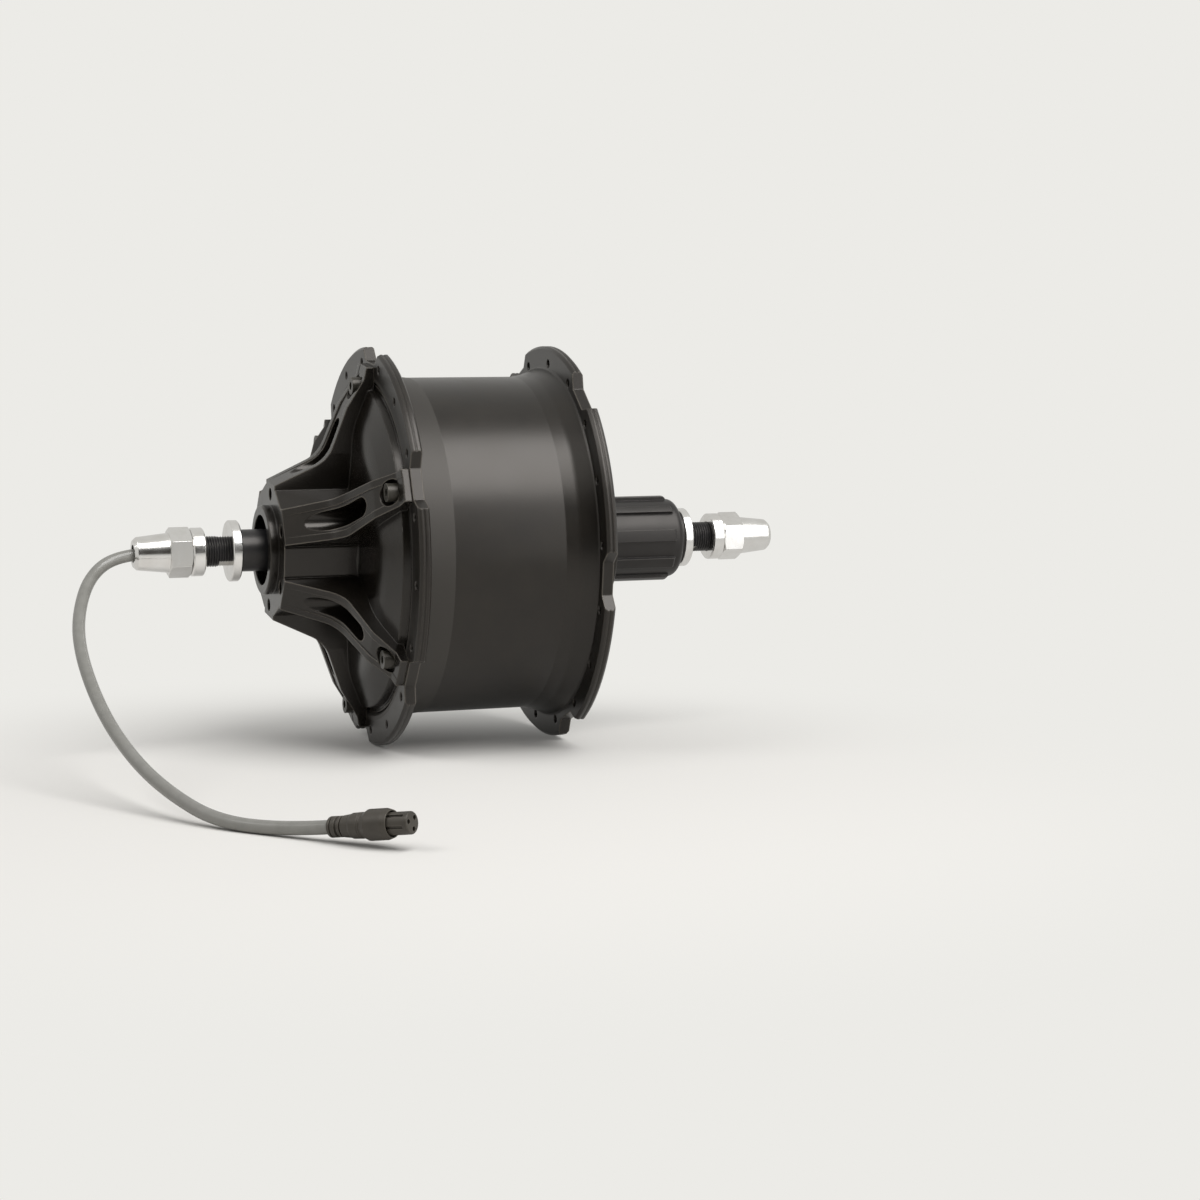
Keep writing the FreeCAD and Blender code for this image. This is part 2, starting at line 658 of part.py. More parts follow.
# Side cover: cast aluminium dome on six ribbed arms, with the brake disc seat on its neck
dome_rim_top = "(left_flange_face + cover_rim_height)"
pocket_floor = f"({left_bearing_end} + running_clearance)"
cover_turned = turned("cover_turned", f"{cover_seat} - cover_spigot_length", [
    ("left_opening_radius - cover_wall", f"{cover_seat} - cover_spigot_length"),
    ("left_opening_radius - 0.1", f"{cover_seat} - cover_spigot_length"),
    ("left_opening_radius - 0.1", cover_seat),
    ("cover_radius", cover_seat),
    ("cover_radius", "left_flange_face - 0.6"),
    ("cover_rim_radius + 0.6", "left_flange_face - 0.6"),
    ("cover_rim_radius", dome_rim_top, "0.5"),
    ("0.5 * cover_rim_radius + 0.5 * neck_radius + 5", "0.32 * left_flange_face + 0.68 * dome_start + 0.9",
     "32"),
    ("neck_radius + 1.2", "dome_start - 1.6", "2"),
    ("neck_radius", "dome_start + 5", "2"),
    ("neck_radius", "disc_face", "0.4"),
    ("disc_pilot_radius", "disc_face"),
    ("disc_pilot_radius", "disc_face + disc_pilot_height", "0.6"),
    ("neck_bore_radius", "disc_face + disc_pilot_height"),
    ("neck_bore_radius", pocket_floor),
    ("left_bearing_outer", pocket_floor),
    ("left_bearing_outer", "left_bearing_place - 3"),
    ("neck_radius - 1.25 * cover_wall", "dome_start + 3", "2"),
    ("neck_radius + 3", "dome_start - cover_wall - 1.6", "3"),
    ("0.5 * cover_rim_radius + 0.5 * neck_radius + 4",
     "0.32 * left_flange_face + 0.68 * dome_start - cover_wall + 0.2", "28"),
    ("left_opening_radius - cover_wall", f"{cover_seat}"),
])


def side_prism(label, width, corners):
    """A prism across an arm, from its outline of (radius, place along Y)."""
    sketch = doc.addObject("Sketcher::SketchObject", label + "_outline")
    along_radius = Rotation(Vector(0, 0, 1), Vector(0, 1, 0), Vector(-1, 0, 0), "XYZ")
    sketch.Placement = Placement(Vector(), along_radius)
    draw_outline(sketch, corners)
    prism = doc.addObject("Part::Extrusion", label)
    prism.Base = sketch
    prism.DirMode = "Normal"
    prism.Symmetric = True
    prism.Solid = True
    bind(prism, LengthFwd=width)
    return prism


def arm_outline(drop):
    """The arm's outline seen from the side, its top lowered by drop past the neck."""
    return [
        ("0.8 * neck_radius", "dome_start - 1.2"),
        ("0.8 * neck_radius", "disc_face"),
        ("arm_top_radius", "disc_face"),
        (f"arm_bend_radius + 0.3 - 0.9 * {drop}", f"arm_bend_place + 0.5 - 0.2 * {drop}", "arm_bend_round"),
        ("screw_circle_radius - 7.5", f"arm_boss_place + 6.4 - 1.4 * {drop}", "8"),
        ("screw_circle_radius + 3.5", f"arm_boss_place - 0.4 - 0.3 * {drop}", "1.5"),
        ("arm_end_radius", f"arm_boss_place - 1.3 - 0.3 * {drop}", "0.5"),
        ("arm_end_radius", "left_flange_face"),
        ("cover_rim_radius - 3", "left_flange_face"),
    ]


def planform(label, inset):
    """An arm seen along the axle: slim at the neck, widest past the bend."""
    slim, wide = f"(arm_width - {inset})", f"(arm_bend_width - {inset})"
    middle = "(arm_bend_radius + 3)"
    inner = block(label + "_inner", slim, "0.7 * neck_radius", middle, "left_flange_face - 1",
                  "disc_face + 1", outer_width=wide)
    outer = block(label + "_outer", wide, middle, "arm_end_radius + 1", "left_flange_face - 1",
                  "disc_face + 1", outer_width=f"{slim} - 0.4")
    return joined(label, [inner, outer])


web = common("arm_web", side_prism("web_prism", "2 * arm_bend_width", arm_outline("arm_rib_height")),
             planform("arm_plan", "0"))
rib_full = common("arm_full", side_prism("rib_prism", "2 * arm_bend_width", arm_outline("0")),
                  planform("rib_plan", "0"))
ribs = cut("arm_ribs", rib_full, [planform("rib_gap", "2 * arm_rib_width")])
arm = joined("arm", [web, ribs])
pocket_round = "(arm_pocket_width / 2)"
pocket_inner = f"(arm_pocket_start + {pocket_round})"
pocket_outer = f"(arm_pocket_end - {pocket_round})"
pocket = joined("arm_pocket", [
    rod("pocket_inner", pocket_round, "left_flange_face - 1", "disc_face + 1", pocket_inner),
    rod("pocket_outer", pocket_round, "left_flange_face - 1", "disc_face + 1", pocket_outer),
    block("pocket_middle", "arm_pocket_width", pocket_inner, pocket_outer, "left_flange_face - 1",
          "disc_face + 1")])
arms = around("arms", cut("arm_scooped", arm, [pocket]), 6, turn)
panel_root = "(neck_radius - 3)"
panel = block("panel", f"panel_width + 2 * (panel_radius - {panel_root})", panel_root, "panel_radius",
              "dome_start - 2.6", "disc_face", outer_width="panel_width")
panels = around("panels", panel, 6, turn + 30)
cover_blank = joined("cover_blank", [cover_turned, arms, panels])
disc_hole = rod("disc_hole", "disc_bolt_radius", "disc_face - disc_bolt_depth", "disc_face + 1",
                "disc_circle_radius")
cover_hole = rod("cover_hole", "screw_radius + shaft_clearance", f"{cover_seat} - 1", "arm_boss_place + 4",
                 "screw_circle_radius")
head_seat = "(arm_boss_place - spotface_depth)"
spotface = rod("spotface", "spotface_radius", head_seat, "arm_boss_place + 6", "screw_circle_radius")
oring_place = f"({cover_seat} - 0.5 * cover_spigot_length)"
oring_groove = tube("oring_groove", "left_opening_radius - 2.4 * oring_wire_radius",
                    "left_opening_radius + 1", f"{oring_place} - oring_wire_radius",
                    f"{oring_place} + oring_wire_radius")
keep("side_cover", cut("side_cover", cover_blank, [
    around("disc_holes", disc_hole, 6, turn),
    joined("cover_drilling", [around("cover_holes", cover_hole, 6, turn),
                              around("spotfaces", spotface, 6, turn)]),
    oring_groove]))
oring = doc.addObject("Part::Torus", "oring")
bind(oring, Radius1="left_opening_radius - 1.15 * oring_wire_radius", Radius2="oring_wire_radius")
keep("cover_oring", place(oring, oring_place, turn=ALONG))


def cap_screw(label, shank_start, head_start, at):
    """One socket head cap screw, its head towards +Y."""
    shank = rod(label + "_shank", "screw_radius", shank_start, f"{head_start} + 1", at)
    head_end = f"({head_start} + screw_head_height)"
    head = rod(label + "_head", "screw_head_radius", head_start, head_end, at)
    socket = doc.addObject("Part::Prism", label + "_socket")
    socket.Polygon = 6
    bind(socket, Circumradius="screw_socket_across / 2 / cos(30)", Height="screw_head_height")
    place(socket, f"{head_end} - 0.55 * screw_head_height", at, turn=ALONG)
    return cut(label, joined(label + "_blank", [shank, head]), [socket])


cover_screw = cap_screw("cover_screw", f"{cover_seat} - screw_grip + 1", head_seat, "screw_circle_radius")
keep("cover_screws", around("cover_screws", cover_screw, 6, turn))
keep("cover_seal", turned("cover_seal", f"{pocket_floor} + 2", [
    ("left_shoulder_radius + shaft_clearance", f"{pocket_floor} + 2"),
    ("neck_bore_radius", f"{pocket_floor} + 2"),
    ("neck_bore_radius", f"{pocket_floor} + 2 + seal_width"),
    ("neck_bore_radius - 1.4", f"{pocket_floor} + 2 + seal_width"),
    ("neck_bore_radius - 2", f"{pocket_floor} + 3.4"),
    ("left_shoulder_radius + 1.2", f"{pocket_floor} + 3.4"),
    ("left_shoulder_radius + shaft_clearance", f"{pocket_floor} + 4.4"),
]))


# Ball bearings: inner race on the axle, outer race in its housing, balls and cage between
def bearing(name, bore, outer, start, width, count):
    """One deep groove bearing as three separate sub-parts."""
    pitch = f"(({bore} + {outer}) / 2)"
    ball_radius = f"(({outer} - {bore}) * 0.33)"
    middle, end = f"({start} + {width} / 2)", f"({start} + {width})"
    groove = doc.addObject("Part::Torus", name + "_groove")
    bind(groove, Radius1=pitch, Radius2=f"{ball_radius} + 0.04")
    place(groove, middle, turn=ALONG)
    land = f"({ball_radius} * 0.5)"
    inner = tube(name + "_inner_ring", bore, f"{pitch} - {land}", start, end)
    keep(name + "_inner", cut(name + "_inner", inner, [groove]))
    outside = tube(name + "_outer_ring", f"{pitch} + {land}", outer, start, end)
    keep(name + "_outer", cut(name + "_outer", outside, [groove]))
    one_ball = ball(name + "_ball", ball_radius, middle, pitch)
    hollow = ball(name + "_hollow", f"{ball_radius} + 0.05", middle, pitch)
    cage = tube(name + "_cage_ring", f"{pitch} - 0.6 * {land}", f"{pitch} + 0.6 * {land}",
                f"{middle} - 0.34 * {width}", f"{middle} + 0.34 * {width}")
    cage = cut(name + "_cage", cage, [around(name + "_hollows", hollow, count)])
    keep(name + "_balls", grouped(name + "_balls", [around(name + "_ball_row", one_ball, count), cage]))


freehub_inner_start = f"({pawl_start} + 0.2)"
freehub_outer_end = "(freehub_end - 0.5)"
bearing("left_bearing", "left_bearing_inner", "left_bearing_outer", "left_bearing_place",
        "left_bearing_width", 11)
bearing("right_bearing", "thread_radius", "right_bearing_outer", f"-{right_bearing_end}",
        "right_bearing_width", 9)
bearing("rotor_bearing", "thread_radius", "rotor_bearing_outer", rotor_bearing_start,
        "rotor_bearing_width", 12)
bearing("freehub_outer_bearing", "thread_radius", "freehub_bearing_outer", f"-{freehub_outer_end}",
        "freehub_bearing_width", 11)
bearing("freehub_inner_bearing", "thread_radius", "freehub_bearing_outer",
        f"-{freehub_inner_start} - freehub_bearing_width", "freehub_bearing_width", 11)


# Reduction gears: sun on the rotor, three planets on the carrier, ring gear in the shell
def involute_flank(base, start, end, steps=5):
    """Points (radius, angle) up an involute from a base circle."""
    points = []
    for i in range(steps):
        radius = max(start + (end - start) * i / (steps - 1), base)
        pressure = math.acos(base / radius)
        points.append((radius, math.tan(pressure) - pressure))
    return points


def toothed_wire(teeth, root, tip, thickness_change):
    """The outline of a gear with a tooth at the top, as arcs and involute flanks."""
    module = size("gear_module")
    pitch = module * teeth / 2
    base = pitch * math.cos(math.radians(20))
    half = math.pi / (2 * teeth) + thickness_change / (2 * pitch)
    lead = math.tan(math.radians(20)) - math.radians(20)
    edges = []
    step = 2 * math.pi / teeth

    def at(radius, angle):
        return Vector(-radius * math.sin(angle), 0, radius * math.cos(angle))

    flank = involute_flank(base, max(root, base), tip)
    for i in range(teeth):
        centre = i * step
        rising = [at(r, centre - (half + lead - a)) for r, a in flank]
        falling = [at(r, centre + (half + lead - a)) for r, a in reversed(flank)]
        foot = half + lead - flank[0][1]
        if root < flank[0][0] - 1e-6:
            edges.append(Part.makeLine(at(root, centre - foot), rising[0]))
        edges.append(interpolated(rising))
        edges.append(Part.Arc(rising[-1], at(tip, centre), falling[0]).toShape())
        edges.append(interpolated(falling))
        if root < flank[0][0] - 1e-6:
            edges.append(Part.makeLine(falling[-1], at(root, centre + foot)))
        edges.append(Part.Arc(at(root, centre + foot), at(root, centre + step / 2),
                              at(root, centre + step - foot)).toShape())
    return Part.Wire(edges)


def interpolated(points):
    """A smooth edge through points."""
    curve = Part.BSplineCurve()
    curve.interpolate(points)
    return curve.toShape()


def gear(label, teeth, bore, start, end):
    """An outside gear with a round bore, its teeth eased by the backlash."""
    module, pitch = size("gear_module"), size("gear_module") * teeth / 2
    wire = toothed_wire(teeth, pitch - 1.25 * module, pitch + 0.95 * module, -size("gear_backlash") / 2)
    length = Vector(0, size(end) - size(start), 0)
    solid = Part.Face(wire).extrude(length)
    hole = Part.makeCylinder(size(bore), length.y + 2, Vector(0, -1, 0), AXLE_LINE)
    solid = solid.cut(hole)
    solid.translate(Vector(0, size(start), 0))
    return as_feature(label, solid)


gear_low, gear_high = f"-{gear_end}", f"-{gear_start}"
sun_stem = tube("sun_stem", "thread_radius + 4 * shaft_clearance", sun_shaft_radius, gear_high,
                f"{rotor_bearing_start} - face_clearance")
sun_wheel = gear("sun_wheel", int(size("sun_teeth")), "thread_radius + 4 * shaft_clearance",
                 gear_low, gear_high)
keep("sun_gear", joined("sun_gear", [sun_wheel, sun_stem]))
planet = shape_of(gear("planet", int(size("planet_teeth")), "planet_pin_radius + running_clearance",
                       gear_low, gear_high))
tooth_turn = 180.0 / size("planet_teeth")
planet.rotate(Vector(), AXLE_LINE, tooth_turn)
for number in range(int(size("planet_count"))):
    angle = number * 360.0 / size("planet_count")
    wheel = planet.copy()
    wheel.rotate(Vector(), AXLE_LINE, -angle)
    wheel.translate(radial(size(planet_circle), angle))
    keep(f"planet_gear_{number + 1}", as_feature(f"planet_gear_{number + 1}", wheel))

module = size("gear_module")
ring_wire = toothed_wire(int(size(ring_teeth)), size(ring_pitch) - 0.95 * module,
                         size(ring_pitch) + 1.25 * module, size("gear_backlash") / 2)
ring_space = Part.Face(ring_wire).extrude(Vector(0, size(gear_end) - size(gear_start) + 12, 0))
ring_space.rotate(Vector(), AXLE_LINE, 180.0 / size(ring_teeth))
ring_space.translate(Vector(0, -size(gear_end) - 6, 0))
ring_high = f"(-{gear_start} + 0.2)"
ring_body = turned("ring_body", f"-{right_inner_face}", [
    (f"{ring_pitch} - 2 * gear_module", f"-{right_inner_face}"),
    ("ring_flange_radius", f"-{right_inner_face}"),
    ("ring_flange_radius", f"-{right_inner_face} + ring_flange_thickness"),
    ("ring_gear_radius", f"-{right_inner_face} + ring_flange_thickness"),
    ("ring_gear_radius", ring_high),
    (f"{ring_pitch} - 2 * gear_module", ring_high),
])
ring_drill = rod("ring_drill", "screw_radius + shaft_clearance", f"-{right_inner_face} - 1",
                 f"-{right_inner_face} + ring_flange_thickness + 1", "ring_screw_circle")
ring_cut = cut("ring_toothed", ring_body, [as_feature("ring_space", ring_space)])
keep("ring_gear", cut("ring_gear", ring_cut, [around("ring_drills", ring_drill, 6, turn + 30)]))
ring_screw = cap_screw("ring_screw", f"-{right_inner_face} - ring_screw_depth",
                       f"-{right_inner_face} + ring_flange_thickness", "ring_screw_circle")
keep("ring_gear_screws", around("ring_gear_screws", ring_screw, 6, turn + 30))

# Planet carrier on its one-way clutch, with its pins and retaining ring
clutch_bore = "(clutch_race_radius + 2 * clutch_roller_radius + 0.1)"
carrier_hub_end = f"({right_bearing_start} - 1.5 - 2 * face_clearance)"
carrier_plate = turned("carrier_plate", f"-{carrier_hub_end}", [
    (clutch_bore, f"-{carrier_hub_end}"),
    ("carrier_hub_radius", f"-{carrier_hub_end}"),
    ("carrier_hub_radius", f"-{carrier_end}"),
    ("carrier_radius", f"-{carrier_end}"),
    ("carrier_radius", f"-{carrier_start}"),
    (clutch_bore, f"-{carrier_start}"),
])
pin_low, pin_high = f"-{carrier_end}", f"-{gear_start} + face_clearance + carrier_ring_thickness"
planets = int(size("planet_count"))
pin = rod("planet_pin", "planet_pin_radius", pin_low, pin_high, planet_circle)
pin_room = around("pin_room", pin, planets)
keep("planet_carrier", cut("planet_carrier", carrier_plate, [pin_room]))
keep("planet_pins", around("planet_pins", pin, planets))
plate = tube("carrier_ring_plate", f"{sun_pitch} + 3 * gear_module",
             f"{planet_circle} + 2 * planet_pin_radius", f"-{gear_start} + face_clearance", pin_high)
keep("carrier_ring", cut("carrier_ring", plate, [around("ring_pin_room", pin, planets)]))
keep("clutch_race", tube("clutch_race", "thread_radius", "clutch_race_radius", f"-{carrier_hub_end}",
                         f"-{carrier_start}"))
roller = rod("clutch_roller", "clutch_roller_radius", f"-{carrier_hub_end} + 0.5", f"-{carrier_start} - 0.5",
             "clutch_race_radius + clutch_roller_radius")
keep("clutch_rollers", around("clutch_rollers", roller, int(size("clutch_roller_count"))))

# Motor: wound stator on a carrier keyed to the axle, inside the magnet rotor
stator_end = "(stator_place + stator_stack)"
carrier_blank = turned("stator_hub", "stator_place - 0.5", [
    ("axle_core_radius", "stator_place - 0.5"),
    ("axle_core_radius + 4", "stator_place - 0.5"),
    ("axle_core_radius + 4", "stator_place + 0.36 * stator_stack", "1.5"),
    ("stator_yoke_inner - 3", "stator_place + 0.36 * stator_stack", "1.5"),
    ("stator_yoke_inner - 3", "stator_place"),
    ("stator_yoke_inner", "stator_place"),
    ("stator_yoke_inner", stator_end),
    ("stator_yoke_inner - 3", stator_end),
    ("stator_yoke_inner - 3", "stator_place + 0.6 * stator_stack", "1.5"),
    ("axle_core_radius + 4", "stator_place + 0.6 * stator_stack", "1.5"),
    ("axle_core_radius + 4", "board_place"),
    ("axle_core_radius", "board_place"),
])
window = rod("stator_window", "0.2 * stator_yoke_inner", "stator_place", stator_end,
             "(axle_core_radius + stator_yoke_inner) / 2 + 0.5")
key_room = block("key_room", key_width, "0", "1.2 * axle_core_radius", key_start, key_end, "180")
keep("stator_carrier", cut("stator_carrier", carrier_blank,
                           [around("stator_windows", window, 6, 30), key_room]))
count = int(size("stator_teeth"))
yoke = tube("stator_yoke", "stator_yoke_inner", "stator_yoke_outer", "stator_place", stator_end)
tooth = block("stator_tooth", "tooth_width", "stator_yoke_outer - 1", "stator_radius - 1", "stator_place",
              stator_end)
shoes = tube("stator_shoes", "stator_radius - 1.8", "stator_radius", "stator_place", stator_end)
mouth = block("slot_mouth", "0.5 * tooth_width", "stator_radius - 3", "stator_radius + 1",
              "stator_place - 1", f"{stator_end} + 1")
shoes = cut("stator_shoe_ring", shoes, [around("slot_mouths", mouth, count, 180.0 / count)])
keep("stator_core", joined("stator_core", [yoke, around("stator_tooth_row", tooth, count), shoes]))
coil_outer = block("coil_outer", "tooth_width + 2 * coil_thickness", "stator_yoke_outer + 0.3",
                   "stator_radius - 2.2", "stator_place - coil_thickness - 0.3",
                   f"{stator_end} + coil_thickness + 0.3")
coil_hole = block("coil_hole", "tooth_width + 0.2", "stator_yoke_outer - 1", "stator_radius",
                  "stator_place - 0.2", f"{stator_end} + 0.2")
keep("stator_windings", around("stator_windings", cut("coil", coil_outer, [coil_hole]), count))
rotor = turned("rotor_cup", rotor_disc_start, [
    (sun_shaft_radius, rotor_disc_start),
    (rotor_outer, rotor_disc_start, "1.5"),
    (rotor_outer, "rotor_rim_end"),
    (magnet_outer, "rotor_rim_end"),
    (magnet_outer, rotor_bearing_start),
    ("rotor_bearing_outer + 3", rotor_bearing_start),
    ("rotor_bearing_outer + 3", "axle_step_place"),
    ("rotor_bearing_outer", "axle_step_place"),
    ("rotor_bearing_outer", rotor_bearing_start),
    (sun_shaft_radius, rotor_bearing_start),
])
vent = rod("rotor_vent", "0.12 * stator_radius", f"{rotor_disc_start} - 1", f"{rotor_bearing_start} + 1",
           "0.66 * stator_radius")
keep("rotor_cup", cut("rotor_cup_vented", rotor, [around("rotor_vents", vent, 6)]))
magnet_ring = tube("magnet_ring", magnet_inner, magnet_outer, "stator_place - 1", f"{stator_end} + 1")
magnet_slot = block("magnet_slot", "magnet_gap", "stator_radius - 1", f"{rotor_outer} + 2",
                    "stator_place - 2", f"{stator_end} + 2")
keep("rotor_magnets", cut("rotor_magnets", magnet_ring,
                          [around("magnet_slots", magnet_slot, int(size("magnet_count")))]))
keep("hall_board", tube("hall_board", "axle_core_radius", "board_radius", "board_place", circlip_start))
keep("board_circlip", tube("board_circlip", "0.93 * axle_core_radius", "axle_core_radius + 1.8",
                           circlip_start, circlip_end))

# Freehub: splined body with three sprung pawls that catch the ratchet ring in the shell
drum_low, drum_high = f"-{freehub_start}", f"-{pawl_start}"
freehub_blank = turned("freehub_blank", "-freehub_end", [
    ("freehub_bearing_outer", "-freehub_end"),
    ("spline_base_radius", "-freehub_end", "freehub_end_round"),
    ("spline_base_radius", drum_low),
    ("pawl_drum_radius", drum_low),
    ("pawl_drum_radius", drum_high),
    ("freehub_bearing_outer", drum_high),
    ("freehub_bearing_outer", f"-{freehub_inner_start} - freehub_bearing_width"),
    ("freehub_bearing_outer - 1.2", f"-{freehub_inner_start} - freehub_bearing_width"),
    ("freehub_bearing_outer - 1.2", f"-{freehub_outer_end} + freehub_bearing_width"),
    ("freehub_bearing_outer", f"-{freehub_outer_end} + freehub_bearing_width"),
])
spline_end = "(spline_end_step - freehub_end)"
spline_row = []
for number in range(int(size("spline_count"))):
    width = "spline_narrow_width" if number == 0 else "spline_width"
    spline_row.append(block(f"spline_{number}", width, "0.9 * spline_base_radius", "spline_radius + 1",
                            spline_end, drum_low, f"spline_turn + {number} * 360 / spline_count"))
spline_envelope = turned("spline_envelope", spline_end, [
    ("0.85 * spline_base_radius", spline_end),
    ("spline_radius - 0.7", spline_end),
    ("spline_radius", f"{spline_end} + 0.7"),
    ("spline_radius", drum_low),
    ("0.85 * spline_base_radius", drum_low),
])
splines = common("splines", grouped("spline_blocks", spline_row), spline_envelope)


pawl_middle = f"(-{pawl_start} - ratchet_width / 2)"
pawl_low, pawl_high = f"({pawl_middle} - pawl_width / 2)", f"({pawl_middle} + pawl_width / 2)"
pocket_play = size("2 * shaft_clearance")


def pawl_shape(grow=0.0):
    """A pawl lying back in its pocket at the top, its pivot on the left, grown by a clearance."""
    half = size("pawl_thickness") / 2 + grow
    low = size(pawl_low) - grow
    width = Vector(0, size(pawl_high) + grow - low, 0)
    pivot = Vector(0, low, size("pawl_pivot_radius"))
    round_end = Part.makeCylinder(half, width.y, pivot, AXLE_LINE)
    swing = Rotation(AXLE_LINE, size("pawl_swing"))
    tips = []
    for radius, side in ((size("pawl_reach") - 2, -grow), (size("pawl_reach"), 0)):
        lifted = radial(radius, -size("pawl_tip_turn")) - Vector(0, 0, size("pawl_pivot_radius"))
        tips.append(swing.multVec(lifted * (1 + grow / lifted.Length)) + Vector(0, 0, side))
    points = [pivot + Vector(0, 0, half), pivot + Vector(0, 0, -half)] + [pivot + tip for tip in tips]
    bar = Part.Face(Part.makePolygon(points + points[:1])).extrude(width)
    return round_end.fuse(bar).removeSplitter()


pocket_shape = pawl_shape(pocket_play)
pocket_box = pocket_shape.BoundBox
room_start = size("pawl_pivot_radius - pawl_thickness / 3")
outer_room = Part.makeBox(pocket_box.XLength, pocket_box.YLength, size("pawl_drum_radius"),
                          Vector(pocket_box.XMin, pocket_box.YMin, room_start))
pawl_pocket = as_feature("pawl_pocket", pocket_shape.fuse(outer_room))
keep("freehub_body", cut("freehub_body", joined("freehub_joined", [freehub_blank, splines]),
                         [around("pawl_pockets", pawl_pocket, 3)]))
for number in range(3):
    pawl = pawl_shape()
    pawl.rotate(Vector(), AXLE_LINE, -number * 120.0)
    keep(f"pawl_{number + 1}", as_feature(f"pawl_{number + 1}", pawl))


def ratchet_space():
    """The room inside the ratchet ring's saw teeth."""
    teeth = int(size("ratchet_teeth"))
    tip, root = size("ratchet_tip_radius"), size("ratchet_root_radius")
    step = 360.0 / teeth
    first = -size("pawl_tip_turn") - size("pawl_catch_turn")
    points = []
    for i in range(teeth):
        angle = first + i * step
        points += [radial(tip, angle), radial(root, angle), radial(tip, angle + step - 2.6)]
    return Part.Face(Part.makePolygon(points + points[:1])).extrude(Vector(0, size("ratchet_width") + 2, 0))


ratchet_blank = tube("ratchet_blank", "ratchet_tip_radius - 1", "ratchet_pocket_radius", f"-{ratchet_end}",
                     f"-{ratchet_start}")
ratchet_room = ratchet_space()
ratchet_room.translate(Vector(0, -size(ratchet_end) - 1, 0))
keep("ratchet_ring", cut("ratchet_ring", ratchet_blank, [as_feature("ratchet_room", ratchet_room)]))

# Spacers, lock ring and clamping pieces on the right end of the axle
lock_inner = f"({freehub_outer_end} + running_clearance)"
keep("lock_ring", turned("lock_ring", f"-{right_seat_inside}", [
    ("thread_radius", f"-{right_seat_inside}"),
    ("lock_ring_radius", f"-{right_seat_inside}", "0.4"),
    ("lock_ring_radius", "-freehub_end - face_clearance", "0.4"),
    ("thread_radius + 1.6", "-freehub_end - face_clearance"),
    ("thread_radius + 1.6", f"-{freehub_outer_end}"),
    ("thread_radius", f"-{freehub_outer_end}"),
]))
keep("freehub_spacer", tube("freehub_spacer", "thread_radius", "thread_radius + 1.6",
                            f"-{freehub_outer_end} + freehub_bearing_width",
                            f"-{freehub_inner_start} - freehub_bearing_width"))
keep("bearing_spacer", tube("bearing_spacer", "thread_radius", "thread_radius + 1.6",
                            f"-{freehub_inner_start}", f"-{right_bearing_end}"))
keep("clutch_spacer", tube("clutch_spacer", "thread_radius", "clutch_race_radius - 0.6",
                           f"-{right_bearing_start}", f"-{carrier_hub_end}"))

# Cable: gland in the axle's bore, leads inside it and the free cord to the plug
gland_face = f"({left_axle_end} + gland_flange)"
gland_depth = f"({left_axle_end} - gland_depth)"
keep("cable_gland", turned("cable_gland", gland_depth, [
    ("0", gland_depth), ("cable_bore_radius", gland_depth), ("cable_bore_radius", left_axle_end),
    ("gland_flange_radius", left_axle_end), ("gland_flange_radius", gland_face), ("0", gland_face)]))
lead_radius = "(0.8 * cord_radius)"
lead_turn = "(cable_bore_end + lead_slot_length / 2)"
lead_height = "(axle_core_radius + 4)"
lead_rise = doc.addObject("Part::Cylinder", "lead_rise")
bind(lead_rise, Radius=lead_radius, Height=lead_height)
place(lead_rise, lead_turn)
keep("phase_leads", joined("phase_leads", [
    rod("lead_bore", lead_radius, lead_turn, gland_depth),
    ball("lead_elbow", lead_radius, lead_turn, "0"), lead_rise,
    ball("lead_bend", lead_radius, lead_turn, lead_height),
    rod("lead_drop", lead_radius, circlip_start, lead_turn, lead_height)]))

# The cord's route from the gland down to the floor, points in millimetres
CORD_ROUTE = [
    (0.0, 125.4, 0.0),
    (0.0, 139.2, 0.0),
    (-7.0, 152.0, -6.9),
    (-26.4, 159.9, -20.8),
    (-51.1, 162.2, -33.6),
    (-79.5, 159.2, -50.0),
    (-106.3, 153.0, -62.3),
    (-129.9, 144.9, -70.3),
    (-153.2, 134.0, -76.0),
    (-173.6, 116.4, -76.1),
    (-188.0, 103.7, -73.4),
]


def cord_path(points):
    """Straight runs joined by tangent arcs, each as large as its two runs allow."""
    edges = []
    here = points[0]
    for i in range(1, len(points) - 1):
        into = (points[i - 1] - points[i])
        out = (points[i + 1] - points[i])
        reach = 0.45 * min(into.Length, out.Length)
        half_turn = (math.pi - into.getAngle(out)) / 2
        radius = reach / math.tan(half_turn)
        print(f"cord point {i}: radius {radius:.1f} mm, {radius / size('2 * cord_radius'):.1f} diameters")
        start = points[i] + into.normalize() * reach
        end = points[i] + out.normalize() * reach
        towards = (into + out).normalize()
        middle = points[i] + towards * (radius / math.cos(half_turn) - radius)
        edges.append(Part.LineSegment(here, start).toShape())
        edges.append(Part.Arc(start, middle, end).toShape())
        here = end
    edges.append(Part.LineSegment(here, points[-1]).toShape())
    return Part.Wire(edges)


route = [Vector(*point) for point in CORD_ROUTE]
route[0].y = size(gland_face)
path = cord_path(route)
section = Part.Wire(Part.Circle(route[0], AXLE_LINE, size("cord_radius")).toShape())
cord_shape = path.makePipeShell([section], True, False)
expected = path.Length * math.pi * size("cord_radius") ** 2
print(f"cord volume {cord_shape.Volume:.1f}, section times length {expected:.1f}, length {path.Length:.1f}")
keep("motor_cable", as_feature("motor_cable", cord_shape))

